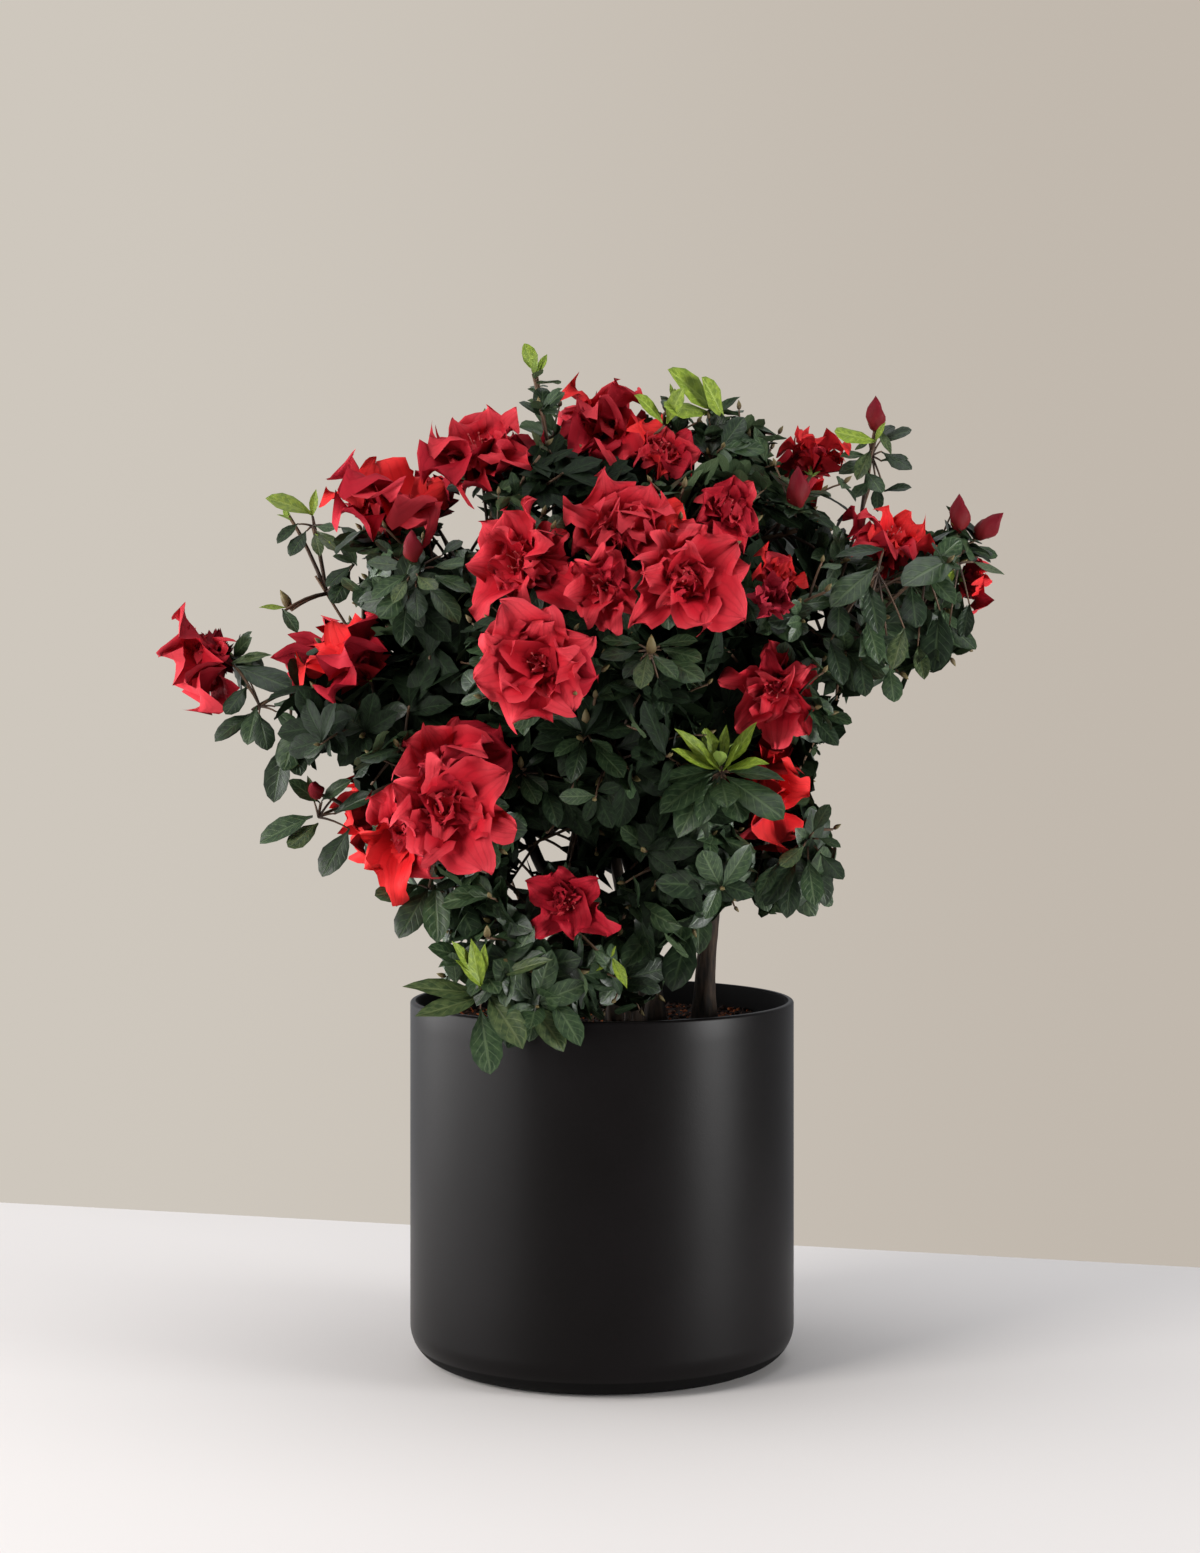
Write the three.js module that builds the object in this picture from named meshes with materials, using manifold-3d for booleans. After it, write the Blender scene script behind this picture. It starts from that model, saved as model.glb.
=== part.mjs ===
// A double red azalea shrub growing in a matt black cylinder pot.
// Millimetres, +Z up. The origin is the centre of the pot's flat underside, and the front is -Y.
// Stems stand on the soil and fork into boughs. Each bough's tip carries a few masses of foliage,
// which are grown by one seeded rule and keep to their own space.

import * as THREE from "three";
import { mergeVertices } from "three/addons/utils/BufferGeometryUtils.js";
import Module from "manifold-3d";

const wasm = await Module();
wasm.setup();

// Driving dimensions
const gap = 0.3; // clear distance between neighbouring pieces
const sliver = 0.02; // shorter edges than this are closed up where pieces are fused
const nearPoints = 0.001; // points nearer than this count as one
const pot = { radius: 115, height: 214, wall: 5, floor: 8, footCurve: 21.5, rimRound: 1.3, sides: 30 };
const potCurves = { foot: [-60, -30], inside: [-45] }; // degrees at which the pot's curves have points
const soil = { level: 200, flatRadius: 88, edgeDrop: 2, footShare: 1.1 };
const leaf = { length: 45, width: 26, thickness: 1.3, widestAt: 0.5, sunk: 0.3, mostFaces: 22 };
const rosette = { first: 0.95, step: 0.05 }; // where the leaves of a rosette leave the twig
const twig = { radius: 1.6, sides: 3, steps: 1, apart: 26, mostFaces: 32, rise: 0.12, tries: 20, lift: 0.5 };
const twigReach = { nearest: 0.35, spread: 0.3, fan: 1.5, from: 0.5 }; // where a mass's twigs start and end
const massStem = { radius: 2.4, tipRadius: 2.1, sides: 5, steps: 3, bend: 0.3, twigsFrom: 0.85 };
const massSpace = { heart: 0.3, limit: 1.12 }; // shares of a mass's reach
const limb = { sides: 7, steps: 7, flare: 0.55, flareHeight: 14, bend: 0.36 };
const boughShape = { sides: 5, steps: 4, bend: 0.3, lift: 0.35 };
const fork = { spread: 1.6, rounds: 60, spacing: 1.4 };
const blossom = { lobes: 5, depth: 0.85, valley: 0.74, hollow: 0.55, foot: 2.4, sunk: 1.6, rim: 0.92 };
const backBloom = { turn: 1.5, away: 0.75, alone: 0.25, lift: 0.25, reach: 0.8, size: 54, sizeSpread: 10 };
const bud = { width: 0.4, length: 1, raised: 0.35 }; // shares of the bud's size
const clearance = { limb: 0.7, mass: 0.06, pot: 3, blossom: 1.5, before: 4, mouth: 0.12 };
const capsuleSteps = { limb: 8, stem: 6, twig: 4 };
const leafHalf = leaf.width / leaf.length / 2; // half a leaf's width as a share of its length
const goldenAngle = Math.PI * (3 - Math.sqrt(5));

const up = new THREE.Vector3(0, 0, 1);
const crownHeart = new THREE.Vector3(5, 0, 380);

// Stems: foot on the soil (x, y), fork point, and radius at foot and fork
const stems = [
  { name: "stem_left", foot: [7, 5], tip: [-45, -5, 318], radii: [4.4, 3.4] },
  { name: "stem_front", foot: [19, -11], tip: [-8, -50, 300], radii: [4.2, 3.2] },
  { name: "stem_centre", foot: [32, 4], tip: [-2, 6, 385], radii: [4.8, 3.4] },
  { name: "stem_right", foot: [61, -6], tip: [70, -8, 330], radii: [6, 4.2] },
  { name: "stem_back", foot: [22, 22], tip: [4, 62, 328], radii: [4.5, 3.4] },
];

// Boughs: the limb they leave, where along it if not from its tip, and where they end
const boughs = [
  { name: "bough_left_low", from: "stem_left", tip: [-106, -46, 346], radii: [2.6, 2.3] },
  { name: "bough_left", from: "stem_left", tip: [-126, -2, 392], radii: [2.6, 2.3] },
  { name: "bough_upper_left", from: "stem_left", tip: [-78, -16, 428], radii: [2.6, 2.3] },
  { name: "bough_front_low", from: "stem_front", at: 0.36, tip: [-24, -70, 258], radii: [2.3, 2.1] },
  { name: "bough_front", from: "stem_front", tip: [-26, -90, 372], radii: [2.6, 2.3] },
  { name: "bough_shoot", from: "stem_front", tip: [26, -66, 318], radii: [2.4, 2] },
  { name: "bough_top", from: "stem_centre", tip: [-16, 4, 488], radii: [2.6, 2.3] },
  { name: "bough_centre", from: "stem_centre", tip: [14, -56, 444], radii: [2.6, 2.3] },
  { name: "bough_top_right", from: "stem_centre", tip: [68, 4, 476], radii: [2.6, 2.3] },
  { name: "bough_right", from: "stem_right", tip: [126, -22, 414], radii: [2.8, 2.6] },
  { name: "bough_right_front", from: "stem_right", tip: [84, -48, 404], radii: [2.6, 2.3] },
  { name: "bough_right_low", from: "stem_right", at: 0.55, tip: [98, -30, 298], radii: [2.3, 2.1] },
  { name: "bough_back_right", from: "stem_right", tip: [96, 48, 384], radii: [2.6, 2.3] },
  { name: "bough_back", from: "stem_back", tip: [0, 84, 396], radii: [2.8, 2.4] },
  { name: "bough_back_left", from: "stem_back", tip: [-66, 58, 318], radii: [2.6, 2.2] },
];

// Masses of foliage: centre, reach each way, seeded twigs and what the twig ends carry.
// A tip is [kind, x, y, z, turn to the right of the front, tilt upwards, diameter or length].
const masses = [
  { name: "far_left_spray", from: "bough_left", centre: [-210, -20, 400], reach: [50, 42, 50], twigs: 7,
    tips: [["blossom", -245, -20, 418, -56, -6, 64]] },
  { name: "left_low_spray", from: "bough_left_low", centre: [-166, -60, 325], reach: [38, 34, 36], twigs: 6,
    tips: [["bud", -163, -78, 340, -10, 30, 16]] },
  { name: "left_middle", from: "bough_left_low", centre: [-146, -62, 394], reach: [46, 50, 54], twigs: 7,
    tips: [["blossom", -149, -66, 424, -80, 50, 56]] },
  { name: "left_upper_twigs", from: "bough_left", centre: [-181, -20, 474], reach: [40, 36, 48], twigs: 6,
    tips: [["young", -186, -20, 503, -70, 60, 24], ["bud", -184, -28, 447, -60, 60, 14]] },
  { name: "upper_left", from: "bough_upper_left", centre: [-117, -60, 474], reach: [52, 56, 56], twigs: 7,
    tips: [["blossom", -125, -50, 520, 45, 68, 64], ["bud", -107, -104, 474, 0, 60, 20]] },
  { name: "top_left", from: "bough_upper_left", centre: [-68, -30, 528], reach: [44, 46, 44], twigs: 6,
    tips: [["blossom", -75, -40, 547, -34, 58, 62]] },
  { name: "low_left_blossoms", from: "bough_left_low", centre: [-93, -108, 335], reach: [54, 56, 54],
    twigs: 6,
    tips: [["blossom", -82, -120, 366, 8, 41, 60], ["blossom", -86, -150, 338, 6, 9, 66],
      ["blossom", -117, -112, 314, -32, -18, 54]] },
  { name: "low_front", from: "bough_front_low", centre: [-58, -92, 279], reach: [66, 42, 32], twigs: 7,
    tips: [["blossom", -18, -120, 280, 0, -6, 46]] },
  { name: "rim_leaves", from: "bough_front_low", centre: [-44, -98, 236], reach: [62, 42, 48], twigs: 7,
    tips: [["young", -71, -112, 245, -8, 62, 26]] },
  { name: "low_centre", from: "stem_front", at: 0.22, centre: [2, -54, 238], reach: [40, 34, 35], twigs: 5 },
  { name: "inner_leaves", from: "bough_shoot", centre: [-28, -62, 330], reach: [40, 40, 44], twigs: 6 },
  { name: "front_blossom", from: "bough_front", centre: [-42, -142, 412], reach: [44, 50, 40], twigs: 5,
    tips: [["blossom", -36, -182, 417, -6, 7, 68]] },
  { name: "centre_leaves", from: "bough_front", centre: [14, -112, 378], reach: [56, 52, 58], twigs: 8,
    tips: [["bud", 27, -150, 420, 0, 55, 14]] },
  { name: "centre_left_blossom", from: "bough_front", centre: [-50, -106, 474], reach: [44, 52, 42],
    twigs: 5,
    tips: [["blossom", -50, -130, 473, -35, 12, 60]] },
  { name: "shoot", from: "bough_shoot", centre: [50, -84, 305], reach: [46, 42, 64], twigs: 10,
    tips: [["young", 62, -100, 358, 4, 66, 30]] },
  { name: "top_sprig", from: "bough_top", centre: [-36, -10, 562], reach: [26, 36, 46], twigs: 3,
    tips: [["young", -41, -16, 588, -10, 84, 28]] },
  { name: "top_centre", from: "bough_top", centre: [18, -8, 547], reach: [46, 48, 44], twigs: 6,
    tips: [["blossom", 2, 4, 568, 14, 62, 58], ["blossom", 37, -34, 543, 20, 30, 46],
      ["young", 46, 0, 574, 30, 70, 26]] },
  { name: "centre_top", from: "bough_centre", centre: [58, -82, 502], reach: [52, 52, 42], twigs: 6,
    tips: [["blossom", 73, -88, 506, 14, 34, 50]] },
  { name: "centre_blossoms", from: "bough_centre", centre: [20, -128, 470], reach: [60, 56, 46], twigs: 4,
    tips: [["blossom", 13, -118, 499, 0, 45, 70], ["blossom", -1, -150, 458, -15, 0, 50],
      ["blossom", 48, -158, 462, 18, 6, 64]] },
  { name: "top_right", from: "bough_top_right", centre: [80, 8, 536], reach: [42, 50, 38], twigs: 7 },
  { name: "upper_right_sprig", from: "bough_top_right", centre: [122, -28, 506], reach: [34, 44, 54],
    twigs: 6,
    tips: [["blossom", 128, 0, 544, 150, 72, 40], ["bud", 114, -52, 508, 0, 72, 24]] },
  { name: "right_top_sprig", from: "bough_right", centre: [167, -6, 530], reach: [30, 32, 44], twigs: 5,
    tips: [["bud", 163, -12, 556, 0, 80, 20]] },
  { name: "right_blossom", from: "bough_right", centre: [174, -50, 478], reach: [40, 44, 38], twigs: 6,
    tips: [["blossom", 172, -40, 494, 45, 60, 50]] },
  { name: "far_right_tip", from: "bough_right", centre: [208, 0, 456], reach: [32, 42, 54], twigs: 6,
    tips: [["bud", 214, -6, 496, -8, 82, 22], ["bud", 226, 0, 492, 60, 40, 22],
      ["blossom", 228, 10, 464, 96, -12, 32]] },
  { name: "right_leaves", from: "bough_right", centre: [160, -58, 429], reach: [45, 50, 38], twigs: 8 },
  { name: "right_star", from: "bough_right_front", centre: [99, -84, 399], reach: [40, 46, 38], twigs: 5,
    tips: [["blossom", 97, -112, 400, -15, -12, 60]] },
  { name: "right_inner", from: "bough_right_front", centre: [106, -80, 456], reach: [36, 48, 38], twigs: 6,
    tips: [["blossom", 106, -72, 471, 45, 45, 46], ["blossom", 94, -120, 451, 10, 5, 26]] },
  { name: "right_low", from: "bough_right_low", centre: [107, -48, 312], reach: [41, 46, 50], twigs: 7,
    tips: [["blossom", 100, -66, 343, 48, -30, 58]] },
  { name: "back_far_left", from: "bough_left", centre: [-150, 56, 404], reach: [42, 48, 46],
    twigs: 5, blooms: 1 },
  { name: "back_left_top", from: "bough_upper_left", centre: [-98, 54, 490], reach: [50, 54, 50],
    twigs: 5, blooms: 1 },
  { name: "back_top", from: "bough_top", centre: [2, 62, 528], reach: [54, 52, 44], twigs: 5, blooms: 2 },
  { name: "back_top_right", from: "bough_top_right", centre: [100, 66, 504], reach: [50, 52, 46],
    twigs: 5, blooms: 1 },
  { name: "back_far_right", from: "bough_back_right", centre: [158, 56, 450], reach: [48, 50, 48],
    twigs: 5, blooms: 1 },
  { name: "back_right_low", from: "bough_back_right", centre: [91, 92, 362], reach: [51, 54, 46],
    twigs: 6, blooms: 1 },
  { name: "back_centre", from: "bough_back", centre: [14, 128, 464], reach: [60, 58, 50],
    twigs: 6, blooms: 2 },
  { name: "back_mid", from: "bough_back", centre: [10, 122, 378], reach: [52, 52, 42],
    twigs: 6, blooms: 1 },
  { name: "back_left_mid", from: "bough_back", centre: [-76, 116, 410], reach: [52, 54, 52],
    twigs: 6, blooms: 2 },
  { name: "back_left_low", from: "bough_back_left", centre: [-112, 72, 322], reach: [54, 54, 54],
    twigs: 6, blooms: 1 },
];

const look = (colour, roughness) =>
  new THREE.MeshStandardMaterial({ color: colour, roughness, metalness: 0 });
const looks = {
  pot: look(0x2c2a2b, 0.5),
  soil: look(0x1b120d, 0.95),
  bark: look(0x33231a, 0.85),
  foliage: look(0x2d3e2b, 0.6),
  blossoms: look(0x7f2a22, 0.6),
};

// Seeded draws from 0 to 1: the same seed gives the same plant
function draws(seed) {
  let state = (seed * 7919 + 12345) % 4294967296;
  const next = () => {
    state = (state * 1664525 + 1013904223) % 4294967296;
    return state / 4294967296;
  };
  next();
  next();
  return next;
}

const vector = (list) => new THREE.Vector3(...list);

// The direction of a piece turned from the front to the right and tilted upwards, in degrees
function facing(turn, tilt) {
  const [a, b] = [THREE.MathUtils.degToRad(turn), THREE.MathUtils.degToRad(tilt)];
  return new THREE.Vector3(Math.sin(a) * Math.cos(b), -Math.cos(a) * Math.cos(b), Math.sin(b));
}

// Two unit vectors square to an axis
function squareTo(axis) {
  const hint = Math.abs(axis.z) > 0.9 ? new THREE.Vector3(1, 0, 0) : up;
  const side = new THREE.Vector3().crossVectors(hint, axis).normalize();
  return [side, new THREE.Vector3().crossVectors(axis, side)];
}

// A closed triangle mesh as a solid for joining and cutting
function solidOf(geometry) {
  const bare = new THREE.BufferGeometry().setAttribute("position", geometry.attributes.position);
  if (geometry.index) bare.setIndex(geometry.index);
  const merged = mergeVertices(bare, 1e-4);
  const corners = merged.index.array;
  const kept = [];
  for (let i = 0; i < corners.length; i += 3) {
    const [a, b, c] = corners.subarray(i, i + 3);
    if (a !== b && b !== c && c !== a) kept.push(a, b, c);
  }
  const mesh = new wasm.Mesh({
    numProp: 3,
    vertProperties: merged.attributes.position.array,
    triVerts: new Uint32Array(kept),
  });
  return new wasm.Manifold(mesh);
}

function geometryOf(solid) {
  const mesh = solid.getMesh();
  const geometry = new THREE.BufferGeometry();
  geometry.setAttribute("position", new THREE.BufferAttribute(mesh.vertProperties, 3));
  geometry.setIndex(new THREE.BufferAttribute(mesh.triVerts, 1));
  geometry.computeVertexNormals();
  return geometry;
}

// A closed cylinder bent along a curve, with its radius set at each step
function bentCylinder(curve, radiusAt, sides, steps) {
  const tube = new THREE.CylinderGeometry(1, 1, 1, sides, steps);
  const place = tube.attributes.position;
  const [reference] = squareTo(curve.getPoint(1).sub(curve.getPoint(0)).normalize());
  for (let i = 0; i < place.count; i++) {
    const t = place.getY(i) + 0.5;
    const along = curve.getTangent(t);
    const side = reference.clone().addScaledVector(along, -reference.dot(along)).normalize();
    const across = new THREE.Vector3().crossVectors(side, along);
    const point = curve.getPoint(t);
    point.addScaledVector(side, place.getX(i) * radiusAt(t));
    point.addScaledVector(across, place.getZ(i) * radiusAt(t));
    place.setXYZ(i, point.x, point.y, point.z);
  }
  return tube;
}

// A limb runs from start to end, leaving along one direction and arriving along another
function limbPath(start, leaving, end, arriving, bend) {
  const length = start.distanceTo(end);
  return new THREE.CubicBezierCurve3(
    start,
    start.clone().addScaledVector(leaving, length * bend),
    end.clone().addScaledVector(arriving, -length * bend),
    end,
  );
}

const endDirection = (curve) => new THREE.Vector3().subVectors(curve.v3, curve.v2).normalize();

// Where a side bough leaves a limb, just clear of its bark and half way between outwards and along it
function sideStart(parent, at, target, radius) {
  const point = parent.curve.getPoint(at);
  const along = parent.curve.getTangent(at);
  const out = target.clone().sub(point);
  out.addScaledVector(along, -out.dot(along)).normalize();
  point.addScaledVector(out, parent.radiusAt(at) + gap + radius * Math.SQRT1_2);
  return [point, out.clone().add(along).normalize()];
}

// Where the limbs of a fork start: on the parent's tip, each towards its own target, and pushed
// apart until they stand side by side
function forkStarts(parent, targets, radius) {
  const along = endDirection(parent.curve);
  const tip = parent.curve.v3.clone().addScaledVector(along, gap);
  const places = targets.map((target) => {
    const way = target.clone().sub(tip).normalize();
    return way.addScaledVector(along, -way.dot(along)).multiplyScalar(radius * fork.spread);
  });
  for (let round = 0; round < fork.rounds; round++) {
    places.forEach((place, i) =>
      places.slice(0, i).forEach((other) => {
        const apart = place.clone().sub(other);
        const lack = 2 * radius + fork.spacing * gap - apart.length();
        if (lack <= 0) return;
        apart.setLength(lack / 2);
        place.add(apart);
        other.sub(apart);
      }),
    );
  }
  const middle = new THREE.Vector3();
  for (const place of places) middle.addScaledVector(place, 1 / places.length);
  return places.map((place) => place.sub(middle).add(tip));
}

// Everything that foliage has to keep clear of: capsules along limbs and funnels round blossoms
const capsules = [];
const funnels = [];

function keepClearOf(owner, curve, radiusAt, steps) {
  for (let k = 0; k < steps; k++) {
    const [t0, t1] = [k / steps, (k + 1) / steps];
    capsules.push({ owner, a: curve.getPoint(t0), b: curve.getPoint(t1), radius: radiusAt((t0 + t1) / 2) });
  }
}

const limbs = {};

for (const stem of stems) {
  const foot = new THREE.Vector3(...stem.foot, soil.level + gap);
  const tip = vector(stem.tip);
  const lean = tip.clone().sub(foot).normalize().add(up).normalize();
  const [thick, thin] = stem.radii;
  const height = tip.distanceTo(foot);
  const radiusAt = (t) =>
    (thick + (thin - thick) * t) * (1 + limb.flare * Math.exp((-t * height) / limb.flareHeight));
  limbs[stem.name] = { curve: limbPath(foot, up, tip, lean, limb.bend), radiusAt };
}

for (const parentName of Object.keys(limbs)) {
  const parent = limbs[parentName];
  const forked = boughs.filter((bough) => bough.from === parentName && bough.at === undefined);
  const starts = forkStarts(parent, forked.map((bough) => vector(bough.tip)), forked[0].radii[0]);
  forked.forEach((bough, i) => {
    bough.start = starts[i];
    bough.leaving = endDirection(parent.curve);
  });
  for (const bough of boughs.filter((b) => b.from === parentName && b.at !== undefined))
    [bough.start, bough.leaving] = sideStart(parent, bough.at, vector(bough.tip), bough.radii[0]);
}

for (const bough of boughs) {
  const tip = vector(bough.tip);
  const [thick, thin] = bough.radii;
  const arriving = tip.clone().sub(bough.start).normalize().addScaledVector(up, boughShape.lift).normalize();
  const radiusAt = (t) => thick + (thin - thick) * t;
  const curve = limbPath(bough.start, bough.leaving, tip, arriving, boughShape.bend);
  limbs[bough.name] = { curve, radiusAt };
}

for (const [name, { curve, radiusAt }] of Object.entries(limbs))
  keepClearOf(name, curve, radiusAt, capsuleSteps.limb);

// Each mass has a heart near its middle, where its stem ends
for (const mass of masses) {
  mass.centre = vector(mass.centre);
  mass.reach = vector(mass.reach);
  mass.out = mass.centre.clone().sub(crownHeart).normalize();
  const inward = mass.out.clone().multiply(mass.reach).multiplyScalar(-massSpace.heart);
  mass.heart = inward.add(mass.centre);
}

function setMassStem(mass, start, leaving) {
  const arriving = mass.heart.clone().sub(start).normalize();
  mass.stem = limbPath(start, leaving, mass.heart, arriving, massStem.bend);
}

for (const [name, parent] of Object.entries(limbs)) {
  const [forked, beside] = [[], []];
  for (const mass of masses.filter(({ from }) => from === name)) (mass.at ? beside : forked).push(mass);
  for (const mass of beside) setMassStem(mass, ...sideStart(parent, mass.at, mass.heart, massStem.radius));
  const starts = forkStarts(parent, forked.map((mass) => mass.heart), massStem.radius);
  forked.forEach((mass, i) => setMassStem(mass, starts[i], endDirection(parent.curve)));
}

const stemRadiusAt = (t) => massStem.radius + (massStem.tipRadius - massStem.radius) * t;
const twigRadiusAt = () => twig.radius;

// A twig leaves the mass's stem and rises a little on its way to its end
function twigPath(start, end) {
  const middle = start.clone().lerp(end, 0.5).addScaledVector(up, start.distanceTo(end) * twig.rise);
  return new THREE.QuadraticBezierCurve3(start, middle, end);
}

function funnelOf(place, axis, diameter) {
  const radius = diameter / 2;
  const depth = radius * blossom.depth;
  return { foot: place.clone().addScaledVector(axis, -depth), axis, radius, depth };
}

masses.forEach((mass, index) => {
  mass.random = draws(index + 1);
  mass.ends = (mass.tips ?? []).map(([kind, x, y, z, turn, tilt, size]) => ({
    kind,
    axis: facing(turn, tilt),
    place: new THREE.Vector3(x, y, z),
    size,
  }));
  // Blossoms at the back stand out of the mass, evenly round its outward side
  for (let k = 0; k < (mass.blooms ?? 0); k++) {
    const [side, across] = squareTo(mass.out);
    const angle = k * Math.PI + mass.random() * backBloom.turn;
    const away = mass.blooms > 1 ? backBloom.away : backBloom.alone;
    const axis = mass.out
      .clone()
      .addScaledVector(side, away * Math.cos(angle))
      .addScaledVector(across, away * Math.sin(angle))
      .addScaledVector(up, backBloom.lift)
      .normalize();
    const place = axis.clone().multiply(mass.reach).multiplyScalar(backBloom.reach).add(mass.centre);
    const size = backBloom.size + backBloom.sizeSpread * mass.random();
    mass.ends.push({ kind: "blossom", axis, place, size });
  }
  for (const end of mass.ends) {
    let twigEnd = end.place;
    if (end.kind === "blossom") {
      const funnel = funnelOf(end.place, end.axis, end.size);
      funnels.push(funnel);
      end.foot = funnel.foot;
      end.depth = funnel.depth;
      twigEnd = end.foot.clone().addScaledVector(end.axis, blossom.sunk);
    }
    end.curve = twigPath(mass.stem.getPoint(massStem.twigsFrom), twigEnd);
  }
  keepClearOf(mass.name, mass.stem, stemRadiusAt, capsuleSteps.stem);
  for (const end of mass.ends) keepClearOf(mass.name, end.curve, twigRadiusAt, capsuleSteps.twig);
});

// How far out a point lies in a mass, as a share of its reach
const shareOut = (mass, point) => point.clone().sub(mass.centre).divide(mass.reach).length();

function insideFunnel(funnel, point) {
  const way = point.clone().sub(funnel.foot);
  const along = way.dot(funnel.axis);
  if (along < -clearance.blossom || along > funnel.depth + clearance.before) return false;
  const around = Math.sqrt(Math.max(0, way.lengthSq() - along * along));
  return around < clearance.blossom + funnel.radius * Math.min(1, clearance.mouth + along / funnel.depth);
}

function insidePot(point) {
  const around = Math.hypot(point.x, point.y);
  const low = point.z < pot.height + clearance.pot;
  const overSoil = around < pot.radius - pot.wall - clearance.pot && point.z > soil.level + clearance.pot;
  return low && around < pot.radius + clearance.pot && !overSoil;
}

// True where a mass may put a twig or a leaf
function isFree(mass, point) {
  const share = shareOut(mass, point);
  if (share > massSpace.limit || insidePot(point)) return false;
  const nearer = share + clearance.mass;
  if (masses.some((other) => other !== mass && shareOut(other, point) < nearer)) return false;
  if (funnels.some((funnel) => insideFunnel(funnel, point))) return false;
  const nearest = new THREE.Vector3();
  return capsules.every(({ owner, a, b, radius }) => {
    if (owner === mass.name) return true;
    new THREE.Line3(a, b).closestPointToPoint(point, true, nearest);
    return nearest.distanceTo(point) > radius + clearance.limb;
  });
}

// A leaf as a thin lozenge of four faces: its edges stand higher than the line from root to tip
function leafSolid(base, along, face, length) {
  const blade = new THREE.TetrahedronGeometry(1);
  const place = blade.attributes.position;
  const side = new THREE.Vector3().crossVectors(along, face);
  for (let i = 0; i < place.count; i++) {
    const [x, y] = [Math.sign(place.getX(i)), Math.sign(place.getY(i))];
    const point = base.clone();
    if (x === y) {
      point.addScaledVector(along, x > 0 ? -leaf.sunk : length);
    } else {
      point.addScaledVector(along, length * leaf.widestAt);
      point.addScaledVector(side, x * leafHalf * length).addScaledVector(face, leaf.thickness);
    }
    place.setXYZ(i, point.x, point.y, point.z);
  }
  return solidOf(blade);
}

// Leaves round a twig's end, each a little further down the twig than the last. A leaf that would
// leave the space or cross another is tried steeper, flatter and smaller before it is left out.
function growRosette(mass, { curve, axis, count, length, lean }) {
  const [side, depth] = squareTo(axis);
  const turn = mass.random() * 2 * Math.PI;
  for (let k = 0; k < count; k++) {
    const angle = turn + (k * 2 * Math.PI) / count + (mass.random() - 0.5) * 0.3;
    const out = side.clone().multiplyScalar(Math.cos(angle)).addScaledVector(depth, Math.sin(angle));
    const base = curve.getPoint(rosette.first - rosette.step * k);
    leafTries.some(([share, swing]) => {
      const size = length * share;
      const open = lean + swing;
      const along = axis.clone().multiplyScalar(Math.cos(open)).addScaledVector(out, Math.sin(open));
      const face = axis.clone().addScaledVector(along, -axis.dot(along)).normalize();
      const across = new THREE.Vector3().crossVectors(along, face).multiplyScalar(leafHalf * size);
      const isClear = leafTests.every(([reached, wing]) =>
        isFree(mass, base.clone().addScaledVector(along, reached * size).addScaledVector(across, wing)),
      );
      if (!isClear) return false;
      return fuse(mass, leafSolid(base, along, face, size), leaf.mostFaces);
    });
  }
}

const isClearPath = (mass, curve) =>
  curve.getPoints(12).slice(3).every((point) => isFree(mass, point));

// A star-shaped funnel, its lobes bent back a little
function blossomSolid(end, turn) {
  const radius = end.size / 2;
  const depth = end.depth;
  const profile = [
    [0, 0],
    [blossom.foot, 0],
    [radius, depth * blossom.rim],
    [0, depth * blossom.hollow],
  ].map(([r, h]) => new THREE.Vector2(r, h));
  const lathe = new THREE.LatheGeometry(profile, blossom.lobes * 2, turn);
  const place = lathe.attributes.position;
  const rows = profile.length;
  for (let i = 0; i < place.count; i++) {
    const valley = Math.floor(i / rows) % 2 === 1;
    if (i % rows !== 2 || !valley) continue;
    place.setXYZ(i, place.getX(i) * blossom.valley, depth, place.getZ(i) * blossom.valley);
  }
  lathe.applyQuaternion(new THREE.Quaternion().setFromUnitVectors(new THREE.Vector3(0, 1, 0), end.axis));
  lathe.translate(end.foot.x, end.foot.y, end.foot.z);
  return solidOf(lathe);
}

// A closed pointed bud of eight faces
function budSolid(end, turn) {
  const lozenge = new THREE.OctahedronGeometry(1).rotateY(turn);
  lozenge.scale((end.size * bud.width) / 2, (end.size * bud.length) / 2, (end.size * bud.width) / 2);
  lozenge.applyQuaternion(new THREE.Quaternion().setFromUnitVectors(new THREE.Vector3(0, 1, 0), end.axis));
  const middle = end.place.clone().addScaledVector(end.axis, end.size * bud.raised);
  lozenge.translate(middle.x, middle.y, middle.z);
  return solidOf(lozenge);
}

// True where every edge of a solid joins two faces, also once near points are merged
function isSound(solid) {
  const corners = mergeVertices(geometryOf(solid).deleteAttribute("normal"), nearPoints).index.array;
  const uses = new Map();
  for (let i = 0; i < corners.length; i++) {
    const next = i % 3 === 2 ? corners[i - 2] : corners[i + 1];
    const edge = Math.min(corners[i], next) * corners.length + Math.max(corners[i], next);
    uses.set(edge, (uses.get(edge) ?? 0) + 1);
  }
  return [...uses.values()].every((count) => count === 2);
}

// Fuses a piece to its mass, unless it would cut through more than the piece that carries it
function fuse(mass, solid, mostFaces = Infinity) {
  const joined = mass.body.add(solid).simplify(sliver);
  if (joined.numTri() - mass.body.numTri() > mostFaces || !isSound(joined)) return false;
  mass.body = joined;
  return true;
}

const twigSolid = (curve) => solidOf(bentCylinder(curve, twigRadiusAt, twig.sides, twig.steps));
const headTurns = [0, 0.1, 0.2, 0.3, 0.4, 0.5]; // turns about its own axis that a blossom or bud tries
const leafCounts = { blossom: 4, bud: 4, young: 5, plain: 5 };
const leafLean = { blossom: 1.8, bud: 1.35, young: 0.95, plain: 1.25 };
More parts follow.
